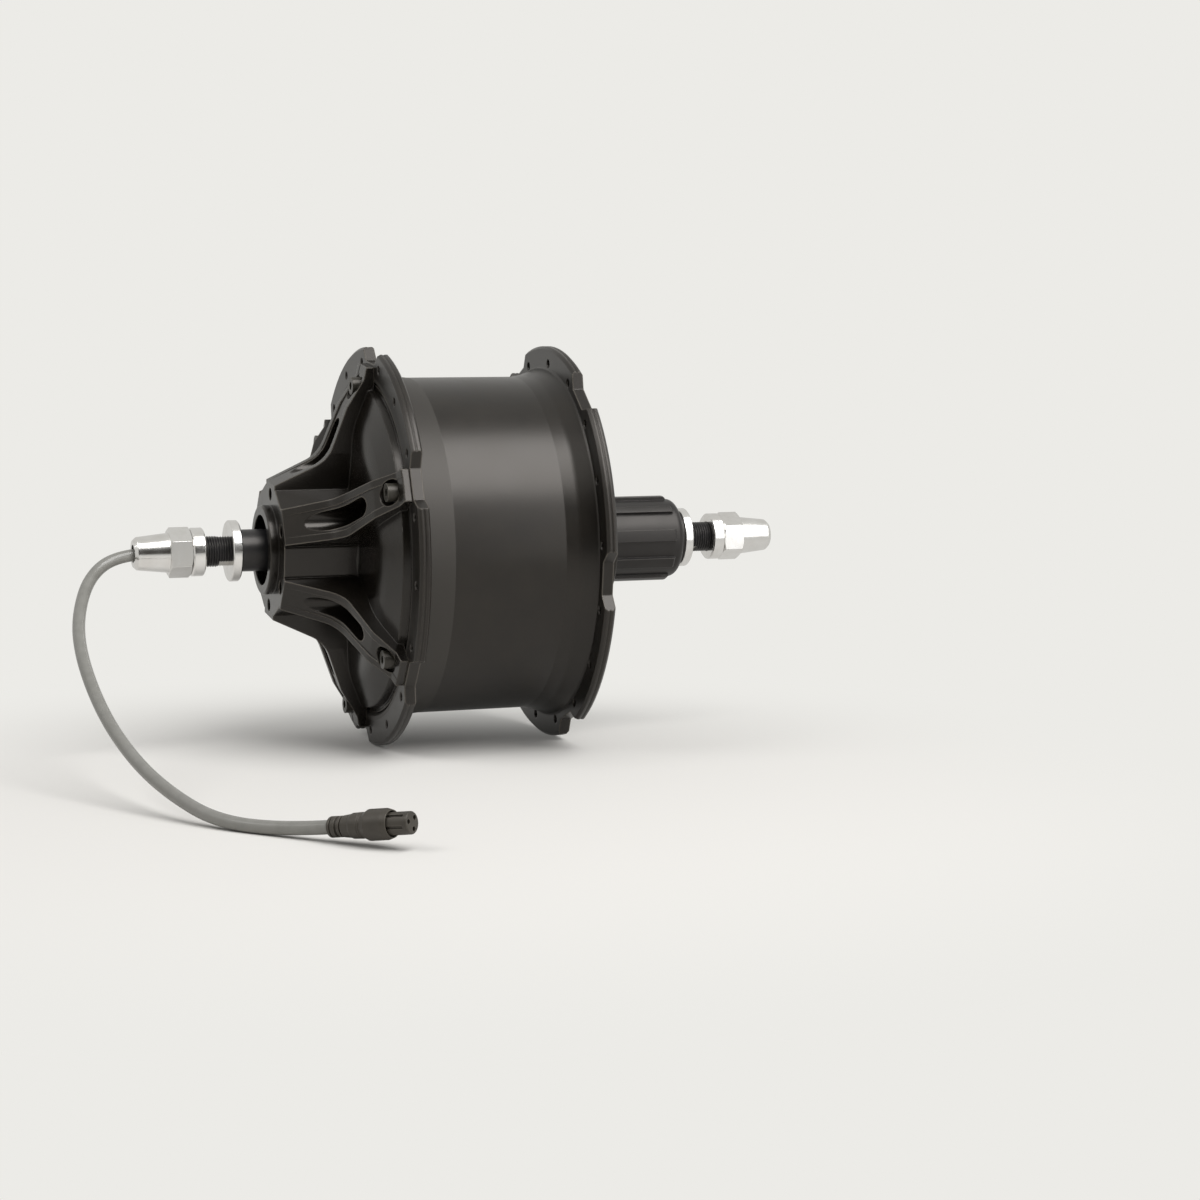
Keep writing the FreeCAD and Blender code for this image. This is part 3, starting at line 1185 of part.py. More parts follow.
# Moulded plug on the cord's end, modelled along +Y and then laid on the cord's line
nose_start = "(plug_length - plug_nose_length)"
recess_floor = f"({nose_start} - plug_recess_depth)"
plug_neck = "(plug_tail_radius - 0.6)"
plug_step = "(0.5 * plug_tail_radius + 0.5 * plug_body_radius)"
plug_outline = [
    ("0", 0), ("plug_tail_radius", 0, "0.4"), ("plug_tail_radius", 0.032), (plug_neck, 0.036),
    (plug_neck, 0.046), ("plug_tail_radius", 0.050), ("plug_tail_radius", 0.096), (plug_neck, 0.100),
    (plug_neck, 0.124), ("plug_tail_radius", 0.128), ("plug_tail_radius", 0.156), (plug_neck, 0.160),
    (plug_neck, 0.174), ("plug_tail_radius + 0.1", 0.178), (plug_step, 0.270),
    ("plug_body_radius - 0.1", 0.292),
    ("plug_body_radius", 0.388), ("plug_body_radius - 0.15", 0.392), ("plug_body_radius - 0.15", 0.398),
    ("plug_body_radius", 0.402), ("plug_body_radius", 0.414), ("plug_body_radius - 0.15", 0.418),
    ("plug_body_radius - 0.15", 0.424), ("plug_body_radius", 0.428), ("plug_body_radius", 0.440, "0.5"),
    ("plug_collar_radius", 0.492, "0.5"), ("plug_collar_radius", 0.700, "0.6"),
]
plug_turned = turned("plug_turned", "0", [
    *[(radius, f"{share} * plug_length", *more) for radius, share, *more in plug_outline],
    ("plug_recess_radius + 0.35", nose_start),
    ("plug_recess_radius", nose_start),
    ("plug_recess_radius", recess_floor),
    ("plug_nose_radius", recess_floor),
    ("plug_nose_radius", "plug_length", "0.6"),
    ("0", "plug_length"),
])
plug_tools = [around("plug_pin_holes",
                     rod("plug_pin_hole", "plug_pin_hole_radius", "plug_length - 5", "plug_length + 1",
                         "0.57 * plug_nose_radius"), 3, 30),
              around("plug_grooves",
                     block("plug_groove", "1.1", "plug_nose_radius - 0.6", "plug_nose_radius + 0.2",
                           recess_floor, "plug_length - 1.6"), 6)]
plug_shape = shape_of(cut("plug_straight", plug_turned, plug_tools))
heading = (route[-1] - route[-2]).normalize()
plug_shape.Placement = Placement(route[-1], Rotation(AXLE_LINE, heading))
keep("cable_plug", as_feature("cable_plug", plug_shape))
print(f"lowest point of the cord {cord_shape.BoundBox.ZMin:.2f}, plug {plug_shape.BoundBox.ZMin:.2f}")

doc.recompute()
failed = [item.Label for item in doc.Objects if {"Invalid", "Error"} & set(item.State)]
if failed:
    raise RuntimeError("not built: " + ", ".join(failed))
for name, item in nodes:
    if item.Shape.isNull() or not item.Shape.isValid():
        raise RuntimeError("not a valid solid: " + name)

os.makedirs("parts", exist_ok=True)
for name, item in nodes:
    item.Shape.exportStep(f"parts/{name}.step")
    print(f"{name}: {len(item.Shape.Solids)} solids, {item.Shape.Volume:.0f} cubic mm")
print(f"{len(nodes)} sub-parts written")
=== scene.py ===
import bpy
from mathutils import Matrix, Vector


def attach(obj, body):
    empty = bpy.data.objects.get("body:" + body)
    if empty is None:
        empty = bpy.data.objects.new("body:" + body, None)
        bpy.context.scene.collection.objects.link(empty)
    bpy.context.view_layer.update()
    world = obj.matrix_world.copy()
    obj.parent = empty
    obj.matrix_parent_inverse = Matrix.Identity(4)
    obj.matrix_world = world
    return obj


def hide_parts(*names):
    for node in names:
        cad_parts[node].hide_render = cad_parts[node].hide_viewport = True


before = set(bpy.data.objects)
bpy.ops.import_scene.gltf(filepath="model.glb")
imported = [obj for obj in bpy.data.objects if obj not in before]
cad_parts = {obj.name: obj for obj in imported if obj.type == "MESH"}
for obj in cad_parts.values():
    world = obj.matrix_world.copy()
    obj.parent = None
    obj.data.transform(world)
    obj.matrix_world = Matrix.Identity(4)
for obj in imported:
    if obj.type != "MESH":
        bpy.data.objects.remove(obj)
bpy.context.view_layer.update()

# Camera. It stands about a metre away on the brake disc side of the hub, a little
# above the axle, and looks slightly down through a long lens.
CAMERA_PLACE = Vector((-1.0069, 0.30514, 0.09219))
CAMERA_LOOK = Vector((0.93574, -0.33552, -0.10872))
CAMERA_RIGHT = Vector((-0.33752, -0.94132, 0.0))
LENS_MM = 79.04
SENSOR_MM = 36.0
NEAREST_SEEN = 0.05

bpy.ops.object.camera_add(location=CAMERA_PLACE)
camera = bpy.context.object
camera.data.lens = LENS_MM
camera.data.sensor_width = SENSOR_MM
camera.data.clip_start = NEAREST_SEEN
camera_up = CAMERA_RIGHT.cross(CAMERA_LOOK).normalized()
camera.matrix_world = Matrix.Translation(CAMERA_PLACE) @ Matrix(
    (CAMERA_RIGHT.normalized(), camera_up, -CAMERA_LOOK.normalized())).transposed().to_4x4()
bpy.context.scene.camera = camera
bpy.context.scene.view_settings.view_transform = "Standard"

# Motor cable: a round three-phase lead in an extruded grey PVC jacket. It leaves the
# cap nut along the axle, bends down in a wide bow and lies on the floor at its end.
# The jacket is semi-matt and faintly clouded, with one soft streak of light along it.
CABLE_DIAMETER = 0.0047
CABLE_ROUTE = [
    (0.0, 0.1254, 0.0),
    (0.0, 0.1392, 0.0),
    (-0.0070, 0.1520, -0.0069),
    (-0.0264, 0.1599, -0.0208),
    (-0.0511, 0.1622, -0.0336),
    (-0.0795, 0.1592, -0.0500),
    (-0.1063, 0.1530, -0.0623),
    (-0.1299, 0.1449, -0.0703),
    (-0.1532, 0.1340, -0.0760),
    (-0.1736, 0.1164, -0.0761),
    (-0.1880, 0.1037, -0.0734),
]
PVC_GREY = "#807f7a"
PVC_SHADE = "#797873"
PVC_ROUGH = (0.20, 0.26)
PVC_IOR = 1.5
JACKET_CLOUDS = 260.0  # clouds about 4 mm across
JACKET_GRAIN = 2600.0  # drag marks of the die, about 0.4 mm apart
GRAIN_STRENGTH = 0.05
GRAIN_DEPTH = 0.0001


def srgb(hex_colour):
    """An sRGB hex colour as the linear red, green, blue and alpha of a socket."""
    parts = [int(hex_colour[i:i + 2], 16) / 255 for i in (1, 3, 5)]
    return [c / 12.92 if c <= 0.04045 else ((c + 0.055) / 1.055) ** 2.4 for c in parts] + [1.0]


def node(tree, kind, sockets=(), **settings):
    """Add a node; sockets are (input, value) or (input, other node, its output)."""
    made = tree.nodes.new(kind)
    for name, value in settings.items():
        setattr(made, name, value)
    for name, source, *output in sockets:
        if output:
            tree.links.new(source.outputs[output[0]], made.inputs[name])
        else:
            made.inputs[name].default_value = source
    return made


def finish(name):
    """A new material's name and empty node tree."""
    material = bpy.data.materials.new(name)
    material.use_nodes = True
    material.node_tree.nodes.clear()
    return material, material.node_tree


cable_line = bpy.data.curves.new("cable", "CURVE")
cable_line.dimensions = "3D"
cable_line.bevel_depth = CABLE_DIAMETER / 2
cable_line.bevel_resolution = 8
cable_line.resolution_u = 24
cable_line.use_fill_caps = True
spline = cable_line.splines.new("NURBS")
spline.points.add(len(CABLE_ROUTE) - 1)
for point, place in zip(spline.points, CABLE_ROUTE):
    point.co = (*place, 1)
spline.order_u = 3
spline.use_endpoint_u = True
cable = bpy.data.objects.new("cable", cable_line)
bpy.context.collection.objects.link(cable)

pvc, tree = finish("extruded PVC, grey")
coords = node(tree, "ShaderNodeTexCoord")
cloud = node(tree, "ShaderNodeTexNoise", [
    ("Vector", coords, "Object"), ("Scale", JACKET_CLOUDS), ("Detail", 5.0)])
tone = node(tree, "ShaderNodeValToRGB", [("Fac", cloud, "Fac")])
for stop, place, colour in zip(tone.color_ramp.elements, (0.35, 0.65), (PVC_SHADE, PVC_GREY)):
    stop.position, stop.color = place, srgb(colour)
grain = node(tree, "ShaderNodeTexNoise", [
    ("Vector", coords, "Object"), ("Scale", JACKET_GRAIN), ("Detail", 3.0)])
skin = node(tree, "ShaderNodeBump", [
    ("Height", grain, "Fac"), ("Strength", GRAIN_STRENGTH), ("Distance", GRAIN_DEPTH)])
shine = node(tree, "ShaderNodeMapRange", [
    ("Value", cloud, "Fac"), ("To Min", PVC_ROUGH[0]), ("To Max", PVC_ROUGH[1])])
jacket = node(tree, "ShaderNodeBsdfPrincipled", [
    ("Base Color", tone, "Color"), ("Roughness", shine, "Result"), ("IOR", PVC_IOR),
    ("Normal", skin, "Normal")])
node(tree, "ShaderNodeOutputMaterial", [("Surface", jacket, "BSDF")])
cable_line.materials.append(pvc)
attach(cable, "axle")
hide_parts("motor_cable")

# Hub shell: die-cast aluminium, blasted and powder coated satin black. The coat has a
# fine peel and long soft highlights; its outer edges carry a painted highlight. The band
# beside the left flange is duller, with a painted sheen of lighter grey.
SHELL_BLACK = "#110f0d"
SHELL_DUSTY = "#1a1713"
SHELL_SHEEN = "#fff9f3"
SHELL_EDGE_HIGHLIGHT = "#79736a"
SHELL_ROUGH = (0.285, 0.33)
EDGE_ROUND = 0.0007
COAT_CLOUDS = 70.0  # patches of thicker coat, about 14 mm across
COAT_PEEL = 2300.0  # orange peel, about 0.4 mm from bump to bump
PEEL_DEPTH = 0.0001
TURNING_MARKS = 2600.0  # a tool mark about every 0.4 mm along the axle
MARK_DEPTH = 0.00005
# Painted highlight on convex edges: where the lighter edge colour starts, where it is full, and
# its most.
EDGE_HIGHLIGHT_STARTS = 0.90  # how free the metal below a point is: 1 on a face, 0.5 at a sharp edge
EDGE_HIGHLIGHT_FULL = 0.50
EDGE_HIGHLIGHT_AT_MOST = 0.55
BAND_START = 0.0249
BAND_EDGE = 0.0252
BAND_RADIUS = 0.0685
# Painted sheen: a lighter grey for the band beside the left flange.
BAND_SHEEN_GREY = "#2b2926"
BAND_ROUGH = 0.44


def coat(name, dark, light, edge_highlight, rough=(0.30, 0.38), peel=0.12, round_to=EDGE_ROUND, gloss=0.45,
         lines=0.0):
    """A thin satin coat with a painted highlight on convex edges, a fine peel and turning lines
    along Y.
    """
    material, tree = finish(name)
    coords = node(tree, "ShaderNodeTexCoord")
    cloud = node(tree, "ShaderNodeTexNoise", [
        ("Vector", coords, "Object"), ("Scale", COAT_CLOUDS), ("Detail", 6.0), ("Roughness", 0.6)])
    tone = node(tree, "ShaderNodeValToRGB", [("Fac", cloud, "Fac")])
    for stop, place, colour in zip(tone.color_ramp.elements, (0.3, 0.75), (dark, light)):
        stop.position, stop.color = place, srgb(colour)
    softened = node(tree, "ShaderNodeBevel", [("Radius", round_to)], samples=5)
    corner = node(tree, "ShaderNodeAmbientOcclusion", [("Distance", round_to)], samples=8,
                  inside=True, only_local=True)
    # Painted highlight: convex edges, found by occlusion inside the metal, take the lighter edge
    # colour.
    edge_highlight_mask = node(tree, "ShaderNodeMapRange", [
        ("Value", corner, "AO"), ("From Min", EDGE_HIGHLIGHT_STARTS), ("From Max", EDGE_HIGHLIGHT_FULL),
        ("To Min", 0.0), ("To Max", EDGE_HIGHLIGHT_AT_MOST)])
    colour = node(tree, "ShaderNodeMix", [("Factor", edge_highlight_mask, "Result")], data_type="RGBA")
    tree.links.new(tone.outputs["Color"], colour.inputs["A"])
    colour.inputs["B"].default_value = srgb(edge_highlight)
    grain = node(tree, "ShaderNodeTexNoise", [
        ("Vector", coords, "Object"), ("Scale", COAT_PEEL), ("Detail", 3.0)])
    bump = node(tree, "ShaderNodeBump", [
        ("Height", grain, "Fac"), ("Normal", softened, "Normal"), ("Strength", peel),
        ("Distance", PEEL_DEPTH)])
    if lines:
        apart = node(tree, "ShaderNodeSeparateXYZ", [("Vector", coords, "Object")])
        along = node(tree, "ShaderNodeCombineXYZ", [("Y", apart, "Y")])
        turning = node(tree, "ShaderNodeTexNoise", [
            ("Vector", along, "Vector"), ("Scale", TURNING_MARKS), ("Detail", 2.0)])
        bump = node(tree, "ShaderNodeBump", [
            ("Height", turning, "Fac"), ("Normal", bump, "Normal"), ("Strength", lines),
            ("Distance", MARK_DEPTH)])
    shine = node(tree, "ShaderNodeMapRange", [
        ("Value", cloud, "Fac"), ("From Min", 0.3), ("From Max", 0.7),
        ("To Min", rough[0]), ("To Max", rough[1])])
    paint = node(tree, "ShaderNodeBsdfPrincipled", [
        ("Base Color", colour, "Result"), ("Roughness", shine, "Result"),
        ("Specular IOR Level", gloss), ("Specular Tint", srgb(SHELL_SHEEN)),
        ("Normal", bump, "Normal")])
    node(tree, "ShaderNodeOutputMaterial", [("Surface", paint, "BSDF")])
    return material


def dress(material, *names):
    """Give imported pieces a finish."""
    for name in names:
        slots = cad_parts[name].data.materials
        slots.clear()
        slots.append(material)


shell = coat("powder coated casting, satin black", SHELL_BLACK, SHELL_DUSTY, SHELL_EDGE_HIGHLIGHT,
             rough=SHELL_ROUGH)
tree = shell.node_tree
paint = tree.nodes["Principled BSDF"]
# Painted sheen: the band beside the left flange, inside the band radius, takes the lighter grey
# and a duller roughness.
coords = node(tree, "ShaderNodeTexCoord")
apart = node(tree, "ShaderNodeSeparateXYZ", [("Vector", coords, "Object")])
left = node(tree, "ShaderNodeMapRange", [
    ("Value", apart, "Y"), ("From Min", BAND_START), ("From Max", BAND_EDGE)])
across = node(tree, "ShaderNodeCombineXYZ", [("X", apart, "X"), ("Z", apart, "Z")])
radius = node(tree, "ShaderNodeVectorMath", [(0, across, "Vector")], operation="LENGTH")
inside = node(tree, "ShaderNodeMath", [(0, radius, "Value"), (1, BAND_RADIUS)],
              operation="LESS_THAN")
sheen_band = node(tree, "ShaderNodeMath", [(0, left, "Result"), (1, inside, "Value")],
              operation="MULTIPLY")
for socket, value, kind in (("Base Color", srgb(BAND_SHEEN_GREY), "RGBA"),
                            ("Roughness", BAND_ROUGH, "FLOAT")):
    source = paint.inputs[socket].links[0].from_socket
    blend = node(tree, "ShaderNodeMix", [("Factor", sheen_band, "Value")], data_type=kind)
    first, second, result = [
        [port for port in ports if port.enabled and port.name == label][0]
        for ports, label in ((blend.inputs, "A"), (blend.inputs, "B"), (blend.outputs, "Result"))]
    tree.links.new(source, first)
    second.default_value = value
    tree.links.new(result, paint.inputs[socket])
dress(shell, "hub_shell")

# Side cover: the same casting and coat as the shell, held by six screws. Its ribs and
# pockets are as cast, and the coat on it is a little glossier than on the drum.
COVER_ROUGH = (0.18, 0.26)

dress(coat("powder coated cover casting, satin black", SHELL_BLACK, SHELL_DUSTY, SHELL_EDGE_HIGHLIGHT,
           rough=COVER_ROUGH), "side_cover")

# Freehub body and lock ring: turned steel, hard anodised black, with a slightly
# oily shine and fine turning lines round the axle.
FREEHUB_BLACK = "#1c1b1b"
FREEHUB_GREY = "#282727"
# Painted highlight: the lighter colour given to convex edges.
FREEHUB_EDGE_HIGHLIGHT = "#605d59"

dress(coat("anodised black, freehub", FREEHUB_BLACK, FREEHUB_GREY, FREEHUB_EDGE_HIGHLIGHT,
           rough=(0.34, 0.44), peel=0.05, round_to=0.0003, gloss=0.38, lines=0.15),
      "freehub_body", "lock_ring")

# Cover screws and the screws of the ring gear: socket cap screws in black oxide steel,
# which shines a little more than the coated cover.
SCREW_BLACK = "#26241f"
SCREW_GREY = "#34322c"
# Painted highlight: the lighter colour given to convex edges.
SCREW_EDGE_HIGHLIGHT = "#6a675f"

for name, screws in (("black oxide screw steel", "cover_screws"),
                     ("black oxide inner screws", "ring_gear_screws")):
    dress(coat(name, SCREW_BLACK, SCREW_GREY, SCREW_EDGE_HIGHLIGHT, rough=(0.3, 0.4), peel=0.04,
               round_to=0.0003), screws)

# Axle: one steel bar, blackened after its threads are rolled. The two flats that slide
# into the frame's slots are milled afterwards and show the bare metal.
AXLE_BLACK = "#1b1b1c"
AXLE_GREY = "#29292b"
# Painted highlight: the lighter colour given to convex edges.
AXLE_EDGE_HIGHLIGHT = "#55534f"
BARE_STEEL = "#b3b0aa"
BARE_ROUGH = 0.3
FLAT_NORMAL = (-0.3746, 0.0, -0.9272)
FLAT_FACING = 0.985  # cosine, so within 10 degrees of the flats' normal
FLAT_DISTANCE = 0.0051

axle = coat("blackened axle steel", AXLE_BLACK, AXLE_GREY, AXLE_EDGE_HIGHLIGHT, rough=(0.3, 0.38), peel=0.04,
            round_to=0.0002)
tree = axle.node_tree
coords = node(tree, "ShaderNodeTexCoord")
masks = []
for output, limit, test in (("Normal", FLAT_FACING, "GREATER_THAN"),
                            ("Object", FLAT_DISTANCE, "LESS_THAN")):
    toward = node(tree, "ShaderNodeVectorMath", [(0, coords, output), (1, FLAT_NORMAL)],
                  operation="DOT_PRODUCT")
    size = node(tree, "ShaderNodeMath", [(0, toward, "Value")], operation="ABSOLUTE")
    masks.append(node(tree, "ShaderNodeMath", [(0, size, "Value"), (1, limit)], operation=test))
flat = node(tree, "ShaderNodeMath", [(0, masks[0], "Value"), (1, masks[1], "Value")],
            operation="MULTIPLY")
milled = node(tree, "ShaderNodeBsdfPrincipled", [
    ("Base Color", srgb(BARE_STEEL)), ("Metallic", 1.0), ("Roughness", BARE_ROUGH)])
either = node(tree, "ShaderNodeMixShader", [
    (0, flat, "Value"), (1, tree.nodes["Principled BSDF"], "BSDF"), (2, milled, "BSDF")])
tree.links.new(either.outputs["Shader"], tree.nodes["Material Output"].inputs["Surface"])
dress(axle, "axle")

# End nuts, collars and seat washers: turned from hexagon bar and plated in bright
# nickel, with fine turning lines round the axle and softly broken edges. They mirror
# the pale studio with slightly soft outlines.
NICKEL = "#e9e8e6"
NICKEL_SHADE = "#e1dfdc"
PLATE_CLOUDS = 180.0  # faint cloudiness of the bath, about 6 mm across
LINE_DEPTH = 0.00004


def plating(name, light, shade, rough, lines=0.05, round_to=0.00025, pitch=4200.0):
    """Bright plating on turned metal, its fine lines, pitch to a metre, running round the axle."""
    material, tree = finish(name)
    coords = node(tree, "ShaderNodeTexCoord")
    apart = node(tree, "ShaderNodeSeparateXYZ", [("Vector", coords, "Object")])
    along = node(tree, "ShaderNodeCombineXYZ", [("Y", apart, "Y")])
    turning = node(tree, "ShaderNodeTexNoise", [
        ("Vector", along, "Vector"), ("Scale", pitch), ("Detail", 2.0)])
    cloud = node(tree, "ShaderNodeTexNoise", [
        ("Vector", coords, "Object"), ("Scale", PLATE_CLOUDS), ("Detail", 4.0)])
    tone = node(tree, "ShaderNodeValToRGB", [("Fac", cloud, "Fac")])
    for stop, place, colour in zip(tone.color_ramp.elements, (0.3, 0.6), (shade, light)):
        stop.position, stop.color = place, srgb(colour)
    softened = node(tree, "ShaderNodeBevel", [("Radius", round_to)], samples=5)
    bump = node(tree, "ShaderNodeBump", [
        ("Height", turning, "Fac"), ("Normal", softened, "Normal"), ("Strength", lines),
        ("Distance", LINE_DEPTH)])
    shine = node(tree, "ShaderNodeMapRange", [
        ("Value", cloud, "Fac"), ("From Min", 0.3), ("From Max", 0.7),
        ("To Min", rough[0]), ("To Max", rough[1])])
    metal = node(tree, "ShaderNodeBsdfPrincipled", [
        ("Base Color", tone, "Color"), ("Metallic", 1.0), ("Roughness", shine, "Result"),
        ("Normal", bump, "Normal")])
    node(tree, "ShaderNodeOutputMaterial", [("Surface", metal, "BSDF")])
    return material


dress(plating("bright nickel plate", NICKEL, NICKEL_SHADE, (0.16, 0.22), lines=0.03),
      "left_nut", "right_nut", "left_collar", "right_collar", "left_seat_washer",
      "right_seat_washer")

# Plug, gland and seals: moulded parts. The plug is dull dark ABS with a fine grain and
# a strain relief, and the gland that holds the cable in the nut is rubber, as are the
# cover's lip seal and ring.
PLUG_DARK = "#2f2c27"
PLUG_LIGHT = "#3e3a34"
# Painted highlight: the lighter colour given to the plug's convex edges.
PLUG_EDGE_HIGHLIGHT = "#6a655c"
RUBBER = "#232221"
RUBBER_LIGHT = "#2c2b2a"
# Painted highlight: the lighter colour given to the rubber's convex edges.
RUBBER_EDGE_HIGHLIGHT = "#3a3937"

dress(coat("moulded ABS, dark", PLUG_DARK, PLUG_LIGHT, PLUG_EDGE_HIGHLIGHT, rough=(0.36, 0.48), peel=0.2,
           round_to=0.0003), "cable_plug")
dress(coat("seal rubber", RUBBER, RUBBER_LIGHT, RUBBER_EDGE_HIGHLIGHT, rough=(0.5, 0.62), peel=0.25),
      "cable_gland", "cover_seal", "cover_oring")

# Bearings: ground steel races that shine softly and polished balls like small mirrors,
# five rows of them along the axle.
RACE_STEEL = "#bab9b5"
RACE_SHADE = "#a9a8a3"
BALL_STEEL = "#cfcfcc"
BEARINGS = ("left_bearing", "right_bearing", "rotor_bearing", "freehub_outer_bearing",
            "freehub_inner_bearing")

dress(plating("ground bearing steel", RACE_STEEL, RACE_SHADE, (0.18, 0.26)),
      *[f"{row}_{race}" for row in BEARINGS for race in ("inner", "outer")])
dress(plating("polished balls in their cage", BALL_STEEL, BALL_STEEL, (0.07, 0.1), lines=0.0),
      *[f"{row}_balls" for row in BEARINGS])

# Gears and clutch: hobbed and ground steel, greyish under a film of grease; the three
# planets are moulded nylon, dull and ivory, as in a quiet hub.
GEAR_STEEL = "#98958f"
GEAR_SHADE = "#817e78"
NYLON = "#ded9cb"
NYLON_SHADE = "#d3cdbd"
# Painted highlight: the lighter colour given to convex edges.
NYLON_EDGE_HIGHLIGHT = "#ece8de"

dress(plating("ground gear steel", GEAR_STEEL, GEAR_SHADE, (0.29, 0.38)),
      "sun_gear", "ring_gear", "planet_carrier", "carrier_ring", "planet_pins", "clutch_race",
      "clutch_rollers", "ratchet_ring", "pawl_1", "pawl_2", "pawl_3", "clutch_spacer",
      "bearing_spacer", "freehub_spacer", "board_circlip", "axle_key")
dress(coat("moulded nylon", NYLON_SHADE, NYLON, NYLON_EDGE_HIGHLIGHT, rough=(0.38, 0.5), peel=0.1),
      "planet_gear_1", "planet_gear_2", "planet_gear_3")

# Motor: a zinc plated rotor cup with nickel plated magnets, a stack of steel laminations
# wound with enamelled copper, and a cast carrier on the axle. The sheets' edges and the
# turns of wire show as fine lines.
ZINC = "#aeb0b0"
ZINC_SHADE = "#9b9d9e"
LAMINATION = "#6f6b66"
LAMINATION_SHADE = "#55514c"
SHEET_EDGES = 1900.0  # one sheet of 0.5 mm each
COPPER = "#b4622e"
COPPER_SHADE = "#8d4820"
WIRE_TURNS = 900.0  # one wire of 1.1 mm each
CAST_ALUMINIUM = "#b1b0ac"
CAST_SHADE = "#9b9a96"

dress(plating("zinc plated steel", ZINC, ZINC_SHADE, (0.29, 0.40)), "rotor_cup")
dress(plating("nickel plated magnets", NICKEL, NICKEL_SHADE, (0.16, 0.24), lines=0.0),
      "rotor_magnets")
dress(plating("electrical steel laminations", LAMINATION, LAMINATION_SHADE, (0.34, 0.5),
              lines=0.7, pitch=SHEET_EDGES), "stator_core")
dress(plating("enamelled copper wire", COPPER, COPPER_SHADE, (0.29, 0.36),
              lines=0.9, pitch=WIRE_TURNS), "stator_windings")
dress(plating("cast aluminium, turned", CAST_ALUMINIUM, CAST_SHADE, (0.3, 0.44)),
      "stator_carrier")

# Board and leads: green glass epoxy with a lacquer's soft shine behind the stator, and
# the lead bundle's dull dark silicone sleeve through the axle.
BOARD_GREEN = "#1b5733"
BOARD_SHADE = "#14472a"
# Painted highlight: the lighter colour given to the board's convex edges.
BOARD_EDGE_HIGHLIGHT = "#3f7a58"
SLEEVE = "#2b2a29"
SLEEVE_LIGHT = "#343332"
# Painted highlight: the lighter colour given to the sleeve's convex edges.
SLEEVE_EDGE_HIGHLIGHT = "#4a4947"

dress(coat("glass epoxy board", BOARD_SHADE, BOARD_GREEN, BOARD_EDGE_HIGHLIGHT, rough=(0.3, 0.4), peel=0.06),
      "hall_board")
dress(coat("silicone sleeve", SLEEVE, SLEEVE_LIGHT, SLEEVE_EDGE_HIGHLIGHT, rough=(0.5, 0.6), peel=0.1),
      "phase_leads")

# Floor: a pale seamless paper. Near the hub it takes light and shadow as matt paper
# does, and further out it blends into the plain backdrop, which metal mirrors dimmer.
FLOOR_HEIGHT = -0.0785
FLOOR_SIZE = 30.0
BACKDROP = "#ecebe7"
TABLE = "#dad8d4"
IN_METAL = 0.78
SHADOW_CENTRE = (-0.12, 0.06, 0.0)
MATT_WITHIN = 0.09
BLENDED_FROM = 0.33


def looked_at(tree):
    """Whether a ray is one that shows the backdrop, and the backdrop's level for it."""
    rays = node(tree, "ShaderNodeLightPath")
    shown = node(tree, "ShaderNodeMath", [(0, rays, "Is Camera Ray"), (1, rays, "Is Glossy Ray")],
                 operation="MAXIMUM")
    shown = node(tree, "ShaderNodeMath", [(0, shown, "Value"), (1, rays, "Is Transmission Ray")],
                 operation="MAXIMUM")
    level = node(tree, "ShaderNodeMapRange", [
        ("Value", rays, "Is Glossy Ray"), ("To Min", 1.0), ("To Max", IN_METAL)])
    return shown, level


bpy.ops.object.select_all(action="DESELECT")
bpy.ops.mesh.primitive_plane_add(size=FLOOR_SIZE, location=(0, 0, FLOOR_HEIGHT))
table = bpy.context.object
table.name = "table"
paper, tree = finish("backdrop paper")
shown, level = looked_at(tree)
coords = node(tree, "ShaderNodeTexCoord")
away = node(tree, "ShaderNodeVectorMath", [(0, coords, "Object"), (1, SHADOW_CENTRE)],
            operation="SUBTRACT")
reach = node(tree, "ShaderNodeVectorMath", [(0, away, "Vector")], operation="LENGTH")
far = node(tree, "ShaderNodeMapRange", [
    ("Value", reach, "Value"), ("From Min", MATT_WITHIN), ("From Max", BLENDED_FROM)],
    interpolation_type="SMOOTHSTEP")
lit = node(tree, "ShaderNodeMath", [(0, far, "Result"), (1, shown, "Value")], operation="MULTIPLY")
matt = node(tree, "ShaderNodeBsdfDiffuse", [("Color", srgb(TABLE))])
glow = node(tree, "ShaderNodeEmission", [
    ("Color", srgb(BACKDROP)), ("Strength", level, "Result")])
mixed = node(tree, "ShaderNodeMixShader", [(0, lit, "Value"), (1, matt, "BSDF"),
                                           (2, glow, "Emission")])
node(tree, "ShaderNodeOutputMaterial", [("Surface", mixed, "Shader")])
table.data.materials.append(paper)

# Room: an even dim light from all round, while the eye and shiny metal see the same
# pale backdrop as on the floor.
ROOM_GREY = "#e6e6e6"
ROOM_LIGHT = 0.35

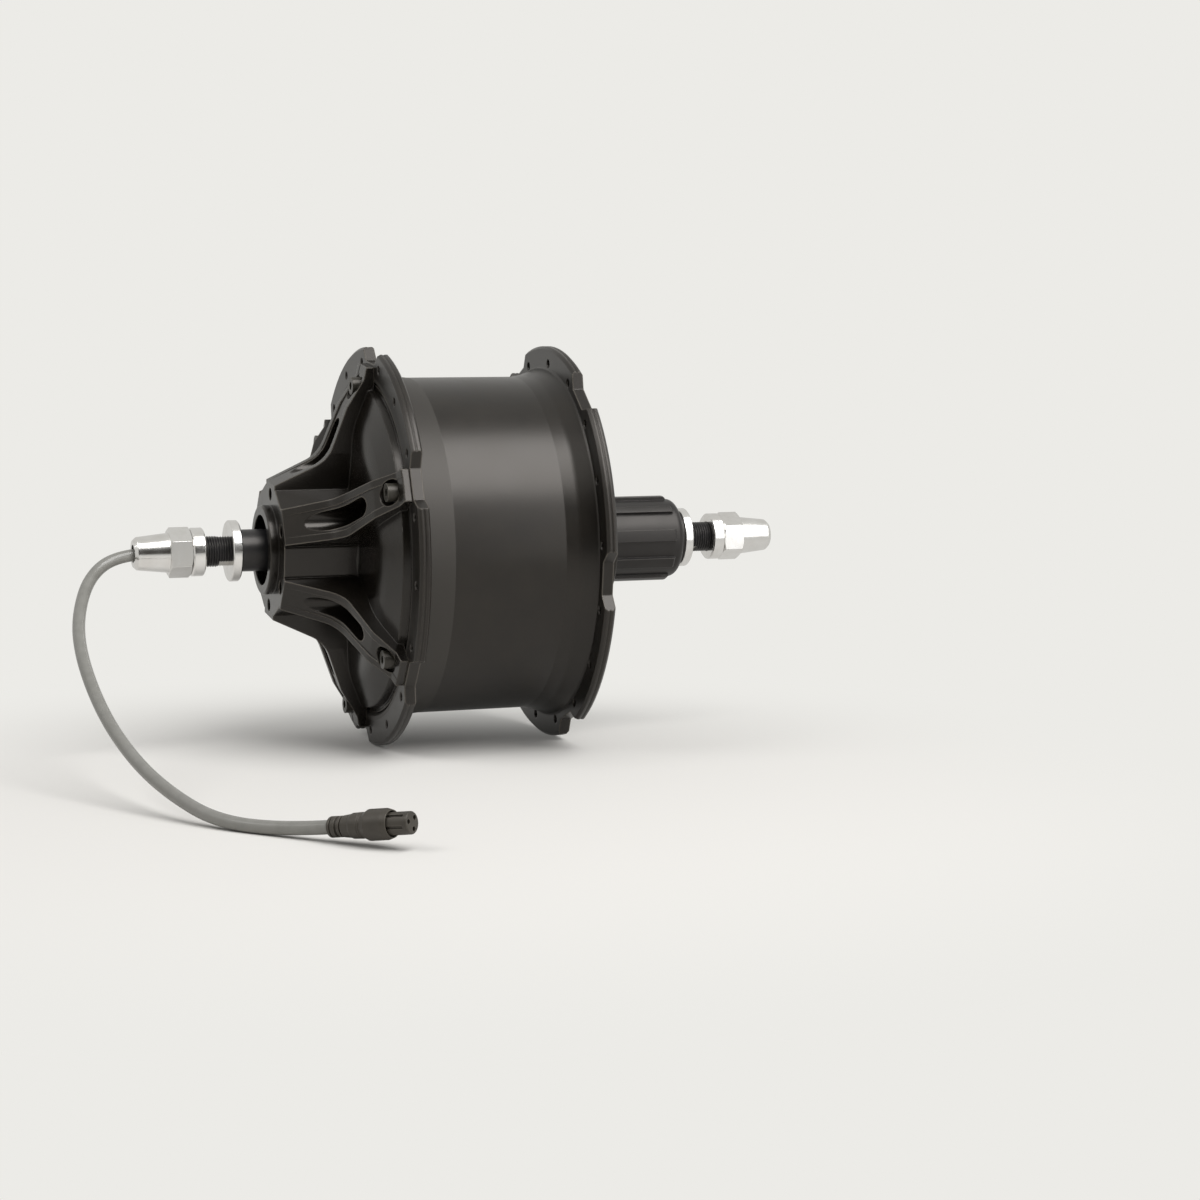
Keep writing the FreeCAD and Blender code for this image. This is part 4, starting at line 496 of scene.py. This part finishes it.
studio = bpy.data.worlds.new("studio")
bpy.context.scene.world = studio
studio.use_nodes = True
tree = studio.node_tree
tree.nodes.clear()
shown, level = looked_at(tree)
room = node(tree, "ShaderNodeBackground", [("Color", srgb(ROOM_GREY)), ("Strength", ROOM_LIGHT)])
pale = node(tree, "ShaderNodeBackground", [
    ("Color", srgb(BACKDROP)), ("Strength", level, "Result")])
mixed = node(tree, "ShaderNodeMixShader", [(0, shown, "Value"), (1, room, "Background"),
                                           (2, pale, "Background")])
node(tree, "ShaderNodeOutputWorld", [("Surface", mixed, "Shader")])

# Dark flag: a wide dark panel upright behind the camera, which only reflections show.
# It keeps the black coats dark where they face the camera.
FLAG_PLACE = (-1.60, 0.0, 0.587)
FLAG_SIZE = (1.33, 5.0, 1.0)
FLAG_GREY = "#3d3b37"
QUARTER_TURN = 1.570796

bpy.ops.object.select_all(action="DESELECT")
bpy.ops.mesh.primitive_plane_add(size=1.0, location=FLAG_PLACE, rotation=(0, QUARTER_TURN, 0))
flag = bpy.context.object
flag.name = "dark_flag"
flag.scale = FLAG_SIZE
flag.visible_camera = False
flag.visible_diffuse = False
flag.visible_shadow = False
flag.visible_transmission = False
dim, tree = finish("dim room")
shade = node(tree, "ShaderNodeEmission", [("Color", srgb(FLAG_GREY)), ("Strength", 1.0)])
node(tree, "ShaderNodeOutputMaterial", [("Surface", shade, "Emission")])
flag.data.materials.append(dim)

# Lamps: one large softbox high on the freehub side, a small one near the camera that
# lights the floor and the nuts, and one above the disc side. Each row gives the lamp's
# name, place, aim, width, height and watts.
SOFTBOXES = (
    ("overhead", (-2.16, -1.15, 3.37), (0, -0.02, 0), 3.0, 3.2, 170.0),
    ("window", (-0.85, -0.53, 0.33), (0, -0.02, 0.33), 0.6, 0.8, 3.0),
    ("disc_side", (-0.25, 1.60, 1.70), (0, 0.05, 0), 1.1, 1.1, 13.0),
)

for name, place, aim, width, height, watts in SOFTBOXES:
    bpy.ops.object.light_add(type="AREA", location=place)
    lamp = bpy.context.object
    lamp.name = name
    lamp.data.shape = "RECTANGLE"
    lamp.data.size = width
    lamp.data.size_y = height
    lamp.data.energy = watts
    lamp.rotation_euler = (Vector(aim) - Vector(place)).to_track_quat("-Z", "Y").to_euler()
